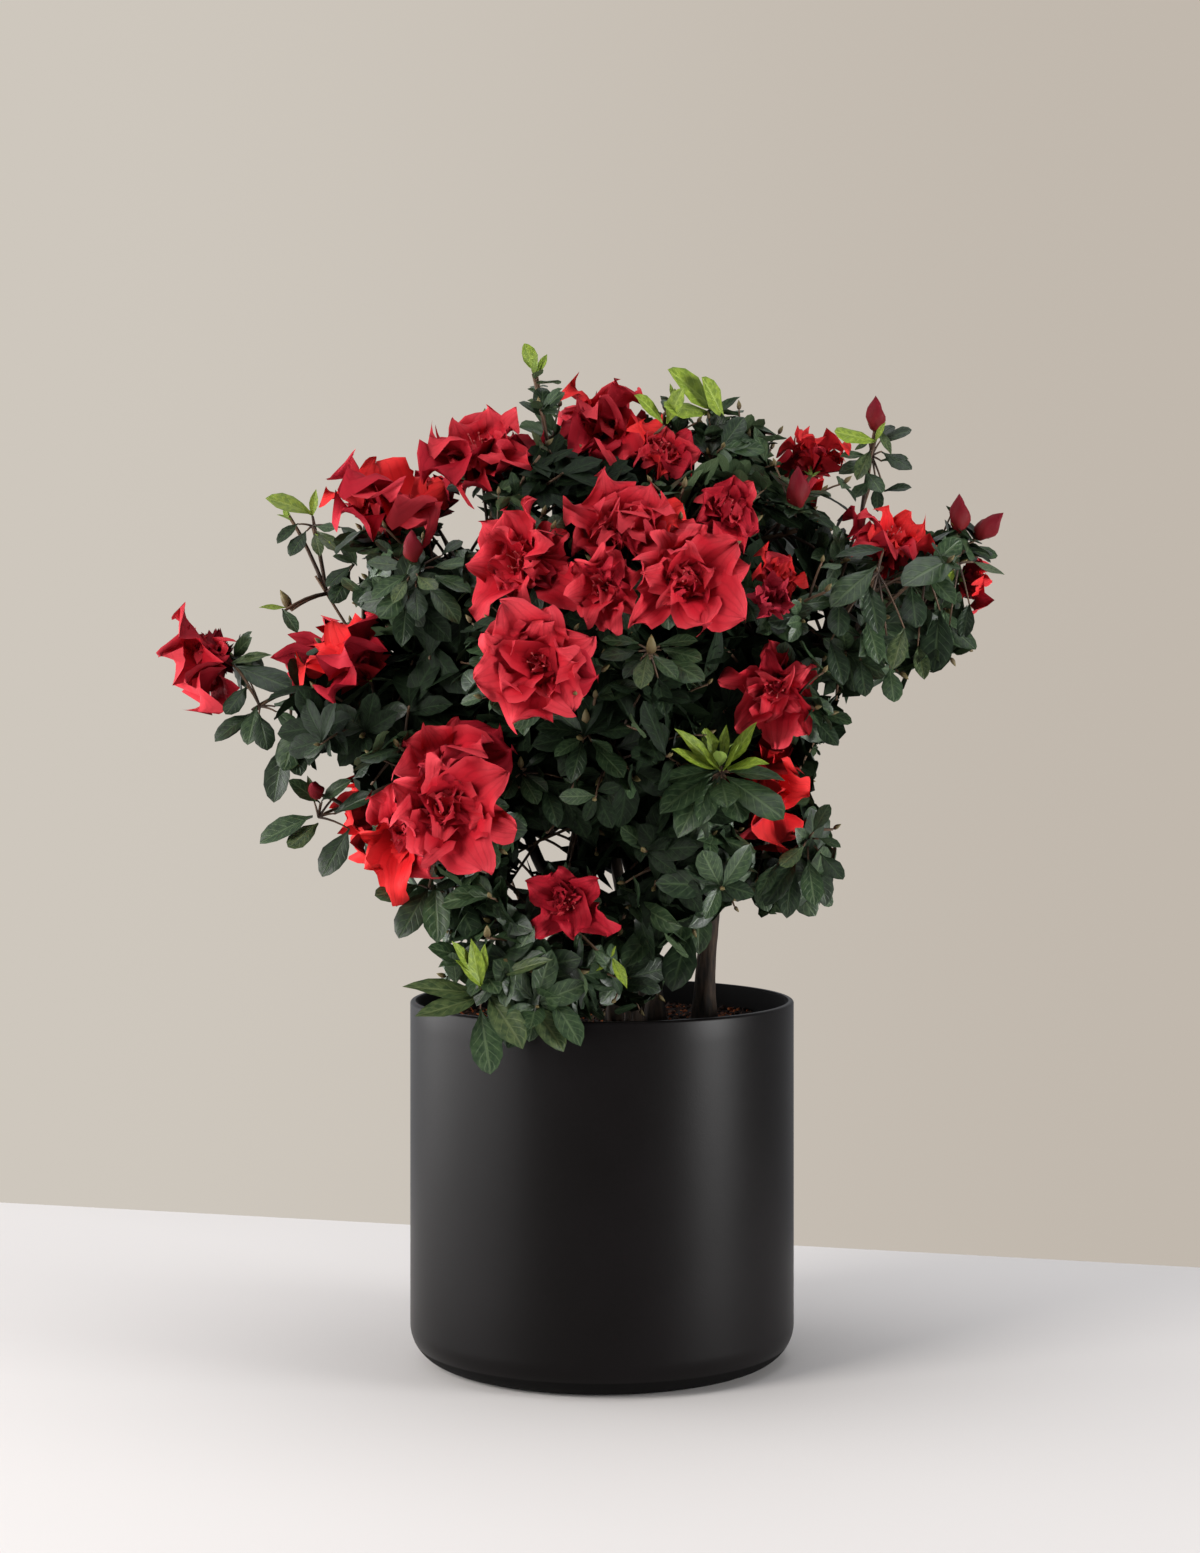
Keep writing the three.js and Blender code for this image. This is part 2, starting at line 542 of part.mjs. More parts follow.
// Points of a leaf that have to be clear: share of its length, and of its half width
const leafTests = [0.3, 0.4, 0.5, 0.62, 0.75, 0.87, 1].flatMap((reached) => {
  const edge = 1 - Math.abs(reached - leaf.widestAt) / leaf.widestAt;
  return [-1, -0.5, 0, 0.5, 1].map((across) => [reached, across * edge]);
});
const leafTries = [1, 0.82, 0.66].flatMap((share) => [0, -0.35, 0.3].map((swing) => [share, swing]));

// Seeded twigs fan out from the mass's stem towards its outward side
function growTwigs(mass) {
  const [side, across] = squareTo(mass.out);
  const grown = [];
  for (let k = 0; k < mass.twigs; k++) {
    const start = mass.stem.getPoint(twigReach.from + ((1 - twigReach.from) * (k + 1)) / mass.twigs);
    for (let tries = 0; tries < twig.tries; tries++) {
      const polar = Math.acos(1 - (twigReach.fan * (k + mass.random())) / mass.twigs);
      const angle = (k + tries) * goldenAngle;
      const way = mass.out
        .clone()
        .multiplyScalar(Math.cos(polar))
        .addScaledVector(side, Math.sin(polar) * Math.cos(angle))
        .addScaledVector(across, Math.sin(polar) * Math.sin(angle));
      const reached = twigReach.nearest + twigReach.spread * mass.random();
      const end = mass.centre.clone().add(way.clone().multiply(mass.reach).multiplyScalar(reached));
      const curve = twigPath(start, end);
      const crowded = [...mass.ends, ...grown].some((other) => other.curve.v2.distanceTo(end) < twig.apart);
      if (crowded || !isClearPath(mass, curve)) continue;
      if (!fuse(mass, twigSolid(curve), twig.mostFaces)) continue;
      const axis = end.clone().sub(start).normalize().addScaledVector(up, twig.lift).normalize();
      grown.push({ kind: "plain", curve, axis });
      break;
    }
  }
  return grown;
}

// Grows one mass and fuses it: stem, twigs, blossoms and buds, then the leaves at each twig's end
function growMass(mass) {
  mass.body = solidOf(bentCylinder(mass.stem, stemRadiusAt, massStem.sides, massStem.steps));
  for (const end of mass.ends) fuse(mass, twigSolid(end.curve));
  const twigs = [...mass.ends, ...growTwigs(mass)];
  for (const end of mass.ends) {
    const headSolid = { blossom: blossomSolid, bud: budSolid }[end.kind];
    if (headSolid) headTurns.some((turn) => fuse(mass, headSolid(end, turn)));
  }
  for (const { kind, curve, axis, size } of twigs) {
    const length = kind === "young" ? size : leaf.length;
    growRosette(mass, { curve, axis, length, count: leafCounts[kind], lean: leafLean[kind] });
  }
  const whole = mass.body.decompose();
  whole.sort((a, b) => b.volume() - a.volume());
  return geometryOf(whole[0]);
}

function piece(name, geometry, material) {
  const mesh = new THREE.Mesh(geometry, material);
  mesh.name = name;
  return mesh;
}

// The pot: a straight cylinder with a wide curve at its foot and a thin rounded rim
function potGeometry() {
  const { radius, height, wall, floor, footCurve, rimRound, sides } = pot;
  const inner = radius - wall;
  const innerCurve = footCurve - wall;
  const corner = (centreR, centreZ, r, degrees) => {
    const angle = THREE.MathUtils.degToRad(degrees);
    return [centreR + r * Math.cos(angle), centreZ + r * Math.sin(angle)];
  };
  const foot = potCurves.foot.map((d) => corner(radius - footCurve, footCurve, footCurve, d));
  const inside = potCurves.inside.map((d) => corner(inner - innerCurve, floor + innerCurve, innerCurve, d));
  const profile = [
    [0, 0],
    [radius - footCurve, 0],
    ...foot,
    [radius, footCurve],
    [radius, height - rimRound],
    [radius - rimRound, height],
    [inner + rimRound, height],
    [inner, height - rimRound],
    [inner, floor + innerCurve],
    ...inside,
    [inner - innerCurve, floor],
    [0, floor],
  ].map(([r, z]) => new THREE.Vector2(r, z));
  return new THREE.LatheGeometry(profile, sides).rotateX(Math.PI / 2);
}

// The soil fills the pot to just under its rim, clear of the wall, flat where the stems stand
function soilGeometry() {
  const inner = pot.radius - pot.wall - gap;
  const curve = pot.footCurve - pot.wall;
  const low = pot.floor + gap;
  const profile = [
    [0, low],
    [inner - curve, low],
    [inner, low + curve * soil.footShare],
    [inner, soil.level - soil.edgeDrop],
    [soil.flatRadius, soil.level],
    [0, soil.level],
  ].map(([r, z]) => new THREE.Vector2(r, z));
  return new THREE.LatheGeometry(profile, pot.sides).rotateX(Math.PI / 2);
}

const plant = new THREE.Group();
plant.add(piece("pot", potGeometry(), looks.pot));
plant.add(piece("soil", soilGeometry(), looks.soil));
for (const [name, { curve, radiusAt }] of Object.entries(limbs)) {
  const { sides, steps } = name.startsWith("stem") ? limb : boughShape;
  plant.add(piece(name, bentCylinder(curve, radiusAt, sides, steps), looks.bark));
}
for (const mass of masses) {
  const flowers = mass.ends.some((end) => end.kind === "blossom");
  plant.add(piece(mass.name, growMass(mass), flowers ? looks.blossoms : looks.foliage));
}

export default plant;
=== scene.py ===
# A double red azalea in a matt black cylinder pot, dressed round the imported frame.
# The plant's tables are in millimetres, as in the part's source; its meshes are in metres.
# The front is -Y.

import math
import bmesh
import bpy
import numpy as np
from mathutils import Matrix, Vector, noise


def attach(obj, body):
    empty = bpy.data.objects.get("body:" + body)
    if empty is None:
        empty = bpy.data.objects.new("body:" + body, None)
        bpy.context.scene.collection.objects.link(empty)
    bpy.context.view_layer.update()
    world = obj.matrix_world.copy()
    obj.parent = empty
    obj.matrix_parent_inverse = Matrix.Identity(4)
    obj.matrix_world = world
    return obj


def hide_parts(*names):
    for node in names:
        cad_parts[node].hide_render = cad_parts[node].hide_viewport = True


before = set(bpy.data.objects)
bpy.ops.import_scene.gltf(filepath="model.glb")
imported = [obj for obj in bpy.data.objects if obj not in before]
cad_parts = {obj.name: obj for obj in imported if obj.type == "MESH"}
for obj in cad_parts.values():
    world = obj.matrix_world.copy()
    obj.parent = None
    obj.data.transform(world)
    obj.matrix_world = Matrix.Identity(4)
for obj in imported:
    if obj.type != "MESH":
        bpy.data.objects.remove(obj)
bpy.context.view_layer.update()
scene = bpy.context.scene
mm = 0.001
print("frame loaded:", len(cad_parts), "nodes")

# numbers shared with the part's source
gap = 0.3
pot = {"radius": 115, "height": 214, "wall": 5, "floor": 8, "footCurve": 21.5, "rimRound": 1.6}
soil = {"level": 200, "flatRadius": 88, "edgeDrop": 2}
massStem = {"radius": 2.4, "tipRadius": 1.5}
flare = {"share": 0.55, "height": 14}
blossom = {"depth": 0.85, "sunk": 1.6}
limbBends = {"stem": 0.36, "bough": 0.3, "massStem": 0.3, "twig": 0.12}  # shares of the length
fork = {"spread": 1.6, "gaps": 1.4, "rounds": 60}
clearance = {"mass": 0.08, "pot": 2.5, "blossom": 1.0, "before": 30}
goldenAngle = math.pi * (3 - math.sqrt(5))
up = np.array([0.0, 0.0, 1.0])
crownHeart = np.array([5.0, 0.0, 380.0])
crownCore = {"centre": np.array([0.0, -8.0, 405.0]), "reach": np.array([165.0, 118.0, 150.0])}

# name, foot on the soil, fork point, radius at foot and fork
stemTable = [
    ("stem_left", (7, 5), (-45, -5, 318), (4.4, 3.4)),
    ("stem_front", (19, -11), (-8, -50, 300), (4.2, 3.2)),
    ("stem_centre", (32, 4), (-2, 6, 385), (4.8, 3.4)),
    ("stem_right", (61, -6), (70, -8, 330), (6, 4.2)),
    ("stem_back", (22, 22), (4, 62, 328), (4.5, 3.4)),
]

# name, limb it leaves, where along it if not from its tip, its own tip, radii
boughTable = [
    ("bough_left_low", "stem_left", None, (-106, -46, 346), (2.6, 2.3)),
    ("bough_left", "stem_left", None, (-126, -2, 392), (2.6, 2.3)),
    ("bough_upper_left", "stem_left", None, (-78, -16, 428), (2.6, 2.3)),
    ("bough_front_low", "stem_front", 0.36, (-24, -70, 258), (2.3, 2.1)),
    ("bough_front", "stem_front", None, (-26, -90, 372), (2.6, 2.3)),
    ("bough_shoot", "stem_front", None, (26, -66, 318), (2.4, 2)),
    ("bough_top", "stem_centre", None, (-16, 4, 488), (2.6, 2.3)),
    ("bough_centre", "stem_centre", None, (14, -56, 444), (2.6, 2.3)),
    ("bough_top_right", "stem_centre", None, (68, 4, 476), (2.6, 2.3)),
    ("bough_right", "stem_right", None, (126, -22, 414), (2.8, 2.6)),
    ("bough_right_front", "stem_right", None, (84, -48, 404), (2.6, 2.3)),
    ("bough_right_low", "stem_right", 0.55, (98, -30, 298), (2.3, 2.1)),
    ("bough_back_right", "stem_right", None, (96, 48, 384), (2.6, 2.3)),
    ("bough_back", "stem_back", None, (0, 84, 396), (2.8, 2.4)),
    ("bough_back_left", "stem_back", None, (-66, 58, 318), (2.6, 2.2)),
]

# name, limb, where along it, centre, reach each way, seeded twigs, blossoms on the far side, tips
# a tip is kind, place, turn to the right of the front, tilt upwards, diameter or length
massTable = [
    ("far_left_spray", "bough_left", None, (-210, -20, 400), (50, 42, 50), 7, 0,
     [("blossom", -245, -20, 418, -56, -6, 64)]),
    ("left_low_spray", "bough_left_low", None, (-166, -60, 325), (38, 34, 36), 6, 0,
     [("bud", -163, -78, 340, -10, 30, 16)]),
    ("left_middle", "bough_left_low", None, (-146, -62, 394), (46, 50, 54), 7, 0,
     [("blossom", -149, -66, 424, -80, 50, 56)]),
    ("left_upper_twigs", "bough_left", None, (-181, -20, 474), (40, 36, 48), 6, 0,
     [("young", -186, -20, 503, -70, 60, 24), ("bud", -184, -28, 447, -60, 60, 14)]),
    ("upper_left", "bough_upper_left", None, (-117, -60, 474), (52, 56, 56), 7, 0,
     [("blossom", -125, -50, 520, 45, 68, 64), ("bud", -107, -104, 474, 0, 60, 20)]),
    ("top_left", "bough_upper_left", None, (-68, -30, 528), (44, 46, 44), 6, 0,
     [("blossom", -75, -40, 547, -34, 58, 62)]),
    ("low_left_blossoms", "bough_left_low", None, (-93, -108, 335), (54, 56, 54), 6, 0,
     [("blossom", -82, -120, 366, 8, 41, 60), ("blossom", -86, -150, 338, 6, 9, 66),
      ("blossom", -117, -112, 314, -32, -18, 54)]),
    ("low_front", "bough_front_low", None, (-58, -92, 279), (66, 42, 32), 7, 0,
     [("blossom", -18, -120, 280, 0, -6, 46)]),
    ("rim_leaves", "bough_front_low", None, (-44, -98, 236), (62, 42, 48), 7, 0,
     [("young", -71, -112, 245, -8, 62, 26)]),
    ("low_centre", "stem_front", 0.22, (2, -54, 238), (40, 34, 35), 5, 0, []),
    ("inner_leaves", "bough_shoot", None, (-28, -62, 330), (40, 40, 44), 6, 0, []),
    ("front_blossom", "bough_front", None, (-42, -142, 412), (44, 50, 40), 5, 0,
     [("blossom", -36, -182, 417, -6, 7, 68)]),
    ("centre_leaves", "bough_front", None, (14, -112, 378), (56, 52, 58), 8, 0,
     [("bud", 27, -150, 420, 0, 55, 14)]),
    ("centre_left_blossom", "bough_front", None, (-50, -106, 474), (44, 52, 42), 5, 0,
     [("blossom", -50, -130, 473, -35, 12, 60)]),
    ("shoot", "bough_shoot", None, (50, -84, 305), (46, 42, 64), 10, 0,
     [("young", 62, -100, 358, 4, 66, 30)]),
    ("top_sprig", "bough_top", None, (-36, -10, 562), (26, 36, 46), 3, 0,
     [("young", -41, -16, 588, -10, 84, 28)]),
    ("top_centre", "bough_top", None, (18, -8, 547), (46, 48, 44), 6, 0,
     [("blossom", 2, 4, 568, 14, 62, 58), ("blossom", 37, -34, 543, 20, 30, 46),
      ("young", 46, 0, 574, 30, 70, 26)]),
    ("centre_top", "bough_centre", None, (58, -82, 502), (52, 52, 42), 6, 0,
     [("blossom", 73, -88, 506, 14, 34, 50)]),
    ("centre_blossoms", "bough_centre", None, (20, -128, 470), (60, 56, 46), 4, 0,
     [("blossom", 13, -118, 499, 0, 45, 70), ("blossom", -1, -150, 458, -15, 0, 50),
      ("blossom", 48, -158, 462, 18, 6, 64)]),
    ("top_right", "bough_top_right", None, (80, 8, 536), (42, 50, 38), 7, 0, []),
    ("upper_right_sprig", "bough_top_right", None, (122, -28, 506), (34, 44, 54), 6, 0,
     [("blossom", 128, 0, 544, 150, 72, 40), ("bud", 114, -52, 508, 0, 72, 24)]),
    ("right_top_sprig", "bough_right", None, (167, -6, 530), (30, 32, 44), 5, 0,
     [("bud", 163, -12, 556, 0, 80, 20)]),
    ("right_blossom", "bough_right", None, (174, -50, 478), (40, 44, 38), 6, 0,
     [("blossom", 172, -40, 494, 45, 60, 50)]),
    ("far_right_tip", "bough_right", None, (208, 0, 456), (32, 42, 54), 6, 0,
     [("bud", 214, -6, 496, -8, 82, 22), ("bud", 226, 0, 492, 60, 40, 22),
      ("blossom", 228, 10, 464, 96, -12, 32)]),
    ("right_leaves", "bough_right", None, (160, -58, 429), (45, 50, 38), 8, 0, []),
    ("right_star", "bough_right_front", None, (99, -84, 399), (40, 46, 38), 5, 0,
     [("blossom", 97, -112, 400, -15, -12, 60)]),
    ("right_inner", "bough_right_front", None, (106, -80, 456), (36, 48, 38), 6, 0,
     [("blossom", 106, -72, 471, 45, 45, 46), ("blossom", 94, -120, 451, 10, 5, 26)]),
    ("right_low", "bough_right_low", None, (107, -48, 312), (41, 46, 50), 7, 0,
     [("blossom", 100, -66, 343, 48, -30, 58)]),
    ("back_far_left", "bough_left", None, (-150, 56, 404), (42, 48, 46), 5, 1, []),
    ("back_left_top", "bough_upper_left", None, (-98, 54, 490), (50, 54, 50), 5, 1, []),
    ("back_top", "bough_top", None, (2, 62, 528), (54, 52, 44), 5, 2, []),
    ("back_top_right", "bough_top_right", None, (100, 66, 504), (50, 52, 46), 5, 1, []),
    ("back_far_right", "bough_back_right", None, (158, 56, 450), (48, 50, 48), 5, 1, []),
    ("back_right_low", "bough_back_right", None, (91, 92, 362), (51, 54, 46), 6, 1, []),
    ("back_centre", "bough_back", None, (14, 128, 464), (60, 58, 50), 6, 2, []),
    ("back_mid", "bough_back", None, (10, 122, 378), (52, 52, 42), 6, 1, []),
    ("back_left_mid", "bough_back", None, (-76, 116, 410), (52, 54, 52), 6, 2, []),
    ("back_left_low", "bough_back_left", None, (-112, 72, 322), (54, 54, 54), 6, 1, []),
]


# small tools for vectors, paths and seeded draws
def vec(values):
    return np.array(values, float)


def unit(vector):
    return vector / np.linalg.norm(vector)


def lengthOf(vector):
    return np.linalg.norm(vector)


def columnsOf(rows, count):
    # a table's first columns as arrays
    return [np.array([row[k] for row in rows]) for k in range(count)]


def besideLines(points, feet, ways):
    # for each point and line, how far along the line it is and how far beside it
    way = points[:, None] - feet
    along = (way * ways).sum(axis=2)
    return along, np.sqrt(np.maximum(0, (way ** 2).sum(axis=2) - along ** 2))


def draws(seed):
    # the same seeded draws from 0 to 1 as in the part's source
    state = (seed * 7919 + 12345) % 4294967296

    def following():
        nonlocal state
        state = (state * 1664525 + 1013904223) % 4294967296
        return state / 4294967296

    following()
    following()
    return following


def drawn(random, least, more):
    return least + more * random()


def facing(turn, tilt):
    a, b = math.radians(turn), math.radians(tilt)
    return np.array([math.sin(a) * math.cos(b), -math.cos(a) * math.cos(b), math.sin(b)])


def squareTo(axis):
    hint = np.array([1.0, 0, 0]) if abs(axis[2]) > 0.9 else up
    side = unit(np.cross(hint, axis))
    return side, np.cross(axis, side)


def spoke(side, across, angle):
    # the direction at an angle in the plane of two others
    return side * math.cos(angle) + across * math.sin(angle)


def squareFace(along, hint):
    # the face of a blade that points along, turned as near to the hint as it can be
    return unit(hint - along * along.dot(hint))


def pointAt(path, t):
    # a point on a Bezier path of any degree
    rows = list(path)
    while len(rows) > 1:
        rows = [a + (b - a) * t for a, b in zip(rows, rows[1:])]
    return rows[0]


def directionAt(path, t):
    return unit(pointAt([b - a for a, b in zip(path, path[1:])], t))


def limbPath(start, leaving, end, arriving, bend):
    length = lengthOf(end - start)
    return np.array([start, start + leaving * length * bend, end - arriving * length * bend, end])


def twigPath(start, end):
    middle = (start + end) / 2 + up * lengthOf(end - start) * limbBends["twig"]
    return np.array([start, middle, end])


# the limbs, by the source's rule
def sideStart(parent, at, target, radius):
    point = pointAt(parent["path"], at)
    along = directionAt(parent["path"], at)
    out = target - point
    out = unit(out - along * out.dot(along))
    thick, thin = parent["radii"]
    point = point + out * (thick + (thin - thick) * at + gap + radius * math.sqrt(0.5))
    return point, unit(out + along)


def forkStarts(parent, targets, radius):
    # the limbs of a fork stand side by side on the parent's tip
    along = directionAt(parent["path"], 1)
    tip = parent["path"][-1] + along * gap
    places = []
    for target in targets:
        way = unit(target - tip)
        places.append((way - along * way.dot(along)) * radius * fork["spread"])
    for _ in range(fork["rounds"]):
        for i, place in enumerate(places):
            for other in places[:i]:
                apart = place - other
                lack = 2 * radius + fork["gaps"] * gap - lengthOf(apart)
                if lack > 0:
                    push = unit(apart) * lack / 2
                    place += push
                    other -= push
    middle = sum(places) / len(places)
    return [place - middle + tip for place in places]


limbs = {}
for name, foot, tip, radii in stemTable:
    foot, tip = vec([*foot, soil["level"] + gap]), vec(tip)
    lean = unit(unit(tip - foot) + up)
    limbs[name] = {"path": limbPath(foot, up, tip, lean, limbBends["stem"]), "radii": radii}

for parentName in [row[0] for row in stemTable]:
    parent = limbs[parentName]
    own = [row for row in boughTable if row[1] == parentName]
    forked = [row for row in own if row[2] is None]
    starts = forkStarts(parent, [vec(row[3]) for row in forked], forked[0][4][0])
    begun = [(row, start, directionAt(parent["path"], 1)) for row, start in zip(forked, starts)]
    for row in own:
        if row[2] is not None:
            begun.append((row, *sideStart(parent, row[2], vec(row[3]), row[4][0])))
    for (name, _, _, tip, radii), start, leaving in begun:
        arriving = unit(unit(vec(tip) - start) + up * 0.35)
        limbs[name] = {"path": limbPath(start, leaving, vec(tip), arriving, limbBends["bough"]),
                       "radii": radii}

masses = []
for name, limbName, at, centre, reach, twigCount, blooms, tips in massTable:
    centre, reach = vec(centre), vec(reach)
    out = unit(centre - crownHeart)
    masses.append({"name": name, "limb": limbName, "at": at, "centre": centre, "reach": reach,
                   "out": out, "heart": centre - out * reach * 0.3, "twigs": twigCount,
                   "blooms": blooms, "tips": tips})


def setMassStem(mass, start, leaving):
    arriving = unit(mass["heart"] - start)
    mass["stem"] = limbPath(start, leaving, mass["heart"], arriving, limbBends["massStem"])


for name, parent in limbs.items():
    forked = [mass for mass in masses if mass["limb"] == name and mass["at"] is None]
    for mass in masses:
        if mass["limb"] == name and mass["at"] is not None:
            setMassStem(mass, *sideStart(parent, mass["at"], mass["heart"], massStem["radius"]))
    if forked:
        starts = forkStarts(parent, [mass["heart"] for mass in forked], massStem["radius"])
        for mass, start in zip(forked, starts):
            setMassStem(mass, start, directionAt(parent["path"], 1))

# how far the petals of a mass spread past the solid's blossom, their red and their width; the scarlet red is
# a lighter copy that stands for painted glow and the deep red a darker copy that stands for painted shade
bloomHabit = {
    "far_left_spray": (0.92, "petalsRed", 0.9), "left_middle": (0.88, "petalsScarlet", 1),
    "upper_left": (0.95, "petalsRed", 1.05), "top_left": (1.12, "petalsRed", 1),
    "low_left_blossoms": (1.03, "petalsRed", 0.9), "low_front": (0.92, "petalsDeep", 0.8),
    "front_blossom": (1.0, "petalsRed", 1), "centre_left_blossom": (1.16, "petalsRed", 0.76),
    "top_centre": (1.1, "petalsRed", 0.95), "centre_top": (1.05, "petalsDeep", 1),
    "centre_blossoms": (1.1, "petalsRed", 0.88), "upper_right_sprig": (1.15, "petalsScarlet", 0.9),
    "right_blossom": (1.1, "petalsScarlet", 1), "far_right_tip": (1.05, "petalsScarlet", 1),
    "right_star": (0.97, "petalsRed", 0.72), "right_inner": (0.95, "petalsScarlet", 1),
    "right_low": (1.14, "petalsScarlet", 1.05), "back_centre": (1.05, "petalsRed", 0.9),
    "back_left_top": (1.05, "petalsDeep", 1), "back_top": (1.1, "petalsRed", 0.9),
    "other": (1.05, None, 1),  # None: each blossom draws its own red
}

# blossoms on the far side: their smallest size, and where they stand on a mass
farBlossoms = {"size": 54, "reach": 0.8, "apart": 0.75, "aside": 0.25, "lift": 0.25}
# what the twig ends carry: blossoms, buds and young leaves
twigsFrom = 0.85  # where these twigs leave the stem of their mass
funnels = []
for index, mass in enumerate(masses):
    random = mass["random"] = draws(index + 1)
    mass["ends"] = [{"kind": kind, "axis": facing(turn, tilt), "place": vec(place), "size": size,
                     "key": (mass["name"], k)}
                    for k, (kind, *place, turn, tilt, size) in enumerate(mass["tips"])]
    side, across = squareTo(mass["out"])
    for k in range(mass["blooms"]):
        angle = k * math.pi + random() * 1.5
        away = farBlossoms["apart"] if mass["blooms"] > 1 else farBlossoms["aside"]
        axis = unit(mass["out"] + side * away * math.cos(angle) + across * away * math.sin(angle)
                    + up * farBlossoms["lift"])
        place = mass["centre"] + axis * mass["reach"] * farBlossoms["reach"]
        mass["ends"].append({"kind": "blossom", "axis": axis, "place": place,
                             "size": farBlossoms["size"] + 10 * random(), "key": None})
    for end in mass["ends"]:
        twigEnd = end["place"]
        if end["kind"] == "blossom":
            depth = end["size"] / 2 * blossom["depth"]
            end["foot"] = end["place"] - end["axis"] * depth
            end["full"], end["heap"], end["wide"] = bloomHabit.get(mass["name"], bloomHabit["other"])
            funnels.append((end["foot"], end["axis"], end["size"] / 2 * end["full"], depth))
            twigEnd = end["foot"] + end["axis"] * blossom["sunk"]
        end["path"] = twigPath(pointAt(mass["stem"], twigsFrom), twigEnd)

# through these places the photograph shows the wall: x, z and radius in the plane y = 0
skyGaps = [
    (-79, 506, 10), (-77, 492, 9), (-97, 487, 7), (-34, 509, 5), (106, 541, 5), (129, 529, 9),
    (133, 512, 5), (164, 491, 4), (170, 471, 5), (130, 440, 6), (135, 401, 6), (100, 370, 4),
    (-125, 425, 4), (-158, 447, 9), (-168, 353, 6), (-147, 321, 8), (-129, 345, 4), (-44, 308, 6),
    (-43, 297, 7), (-50, 280, 6), (-148, 472, 7), (23, 293, 4), (62, 211, 8), (-150, 500, 6),
    (-20, 303, 5), (-19, 311, 4), (-88, 498, 10),
    # wall round the outline
    (-221, 357, 15), (170, 366, 24), (236, 439, 17), (-227, 475, 33), (-175, 463, 9), (-224, 442, 11),
    (83, 252, 16), (170, 336, 30), (-61, 589, 17), (-196, 430, 9), (221, 406, 16), (-187, 285, 17),
    (200, 394, 16), (-115, 246, 13), (179, 300, 35), (203, 529, 18), (158, 388, 8), (-221, 502, 26),
    (140, 360, 5), (-100, 255, 5), (-91, 508, 7), (-190, 330, 5), (-175, 300, 6), (188, 514, 7),
    (-178, 472, 8), (149, 391, 5), (-190, 436, 8), (-242, 375, 9), (-199, 475, 13), (158, 315, 17),
    (173, 529, 4), (-172, 514, 5), (-206, 430, 6), (86, 267, 6), (107, 592, 31), (-25, 598, 11),
    (116, 249, 16), (203, 502, 5), (146, 394, 4), (-25, 306, 9), (-40, 300, 8),
    (-47, 288, 5), (12, 296, 6), (2, 284, 5), (143, 354, 14), (139, 338, 12), (-172, 469, 7),
    (-94, 508, 6),
]
# whole sprays that nothing seeded hides: place and radius
clearPlaces = [
    (67, -112, 352, 28), (-106, -106, 460, 27), (26, -152, 414, 26), (-9, -120, 371, 24),
    (-46, -102, 348, 20), (116, -84, 304, 26), (150, -98, 440, 30), (190, -72, 446, 24),
    (100, -74, 320, 14), (-163, -80, 325, 34), (-150, -66, 420, 27), (-125, -70, 512, 26),
]
# the light from above hardly reaches the leaves here, so most leaves here take the darkest leaf finish as
# painted shade: x, z and radius
shadyPlaces = [(-84, 420, 30), (16, 360, 50), (-20, 334, 34), (34, 300, 20), (-30, 440, 24),
               (-160, 374, 26)]
# no leaf grows on the front eye's line before a blossom, a bud or a young shoot
frontEye = np.array([0.0, -1760.0, 414.0])
# share of the size that stays clear, how far up it the window's middle is, and where it begins
windowHabit = {"blossom": (0.42, 0, 4), "bud": (0.5, 0.4, 4), "young": (0.8, 0.4, 12)}
farBehind, frontHalf = -900, 20
windows = [(np.array([x, 0.0, z]), radius, farBehind) for x, z, radius in skyGaps]
windows += [(vec(place), radius, 6) for *place, radius in clearPlaces]
for mass in masses:
    for end in mass["ends"]:
        if end["place"][1] < frontHalf:
            share, shift, begins = windowHabit[end["kind"]]
            radius = end["size"] * end.get("full", 1) * share
            windows.append((end["place"] + end["axis"] * (shift * end["size"]), radius, begins))

windowPlaces, windowRadii, windowStarts = columnsOf(windows, 3)
windowWays = np.array([unit(frontEye - place) for place in windowPlaces])
funnelFeet, funnelAxes, funnelRadii, funnelDepths = columnsOf(funnels, 4)
centres = np.array([mass["centre"] for mass in masses])
reaches = np.array([mass["reach"] for mass in masses])


def isFree(index, points, limit=1.08, inside=False):
    # true where a mass may put a twig or leaf through all these points;
    # inside the crown the hollow between the masses may be used as well
    shares = np.linalg.norm((points[:, None] - centres) / reaches, axis=2)
    own = shares[:, index].copy()
    if own.max() > limit:
        return False
    shares[:, index] = 9  # far out
    if (shares.min(axis=1) < np.minimum(own - clearance["mass"], 0.92 if inside else 9)).any():
        return False
    fromCore = np.linalg.norm((points - crownCore["centre"]) / crownCore["reach"], axis=1)
    if inside and (fromCore > 1).any():
        return False
    around = np.hypot(points[:, 0], points[:, 1])
    low = points[:, 2] < pot["height"] + clearance["pot"]
    inner = pot["radius"] - pot["wall"] - clearance["pot"]
    overSoil = (around < inner) & (points[:, 2] > soil["level"] + clearance["pot"])
    if (low & (around < pot["radius"] + clearance["pot"]) & ~overSoil).any():
        return False
    along, aside = besideLines(points, funnelFeet, funnelAxes)
    mouth = funnelRadii * np.minimum(1, 0.12 + along / funnelDepths)
    within = (along > -clearance["blossom"]) & (along < funnelDepths + clearance["before"])
    if (within & (aside < clearance["blossom"] + mouth)).any():
        return False
    along, aside = besideLines(points, windowPlaces, windowWays)
    return not ((along > windowStarts) & (aside < windowRadii)).any()


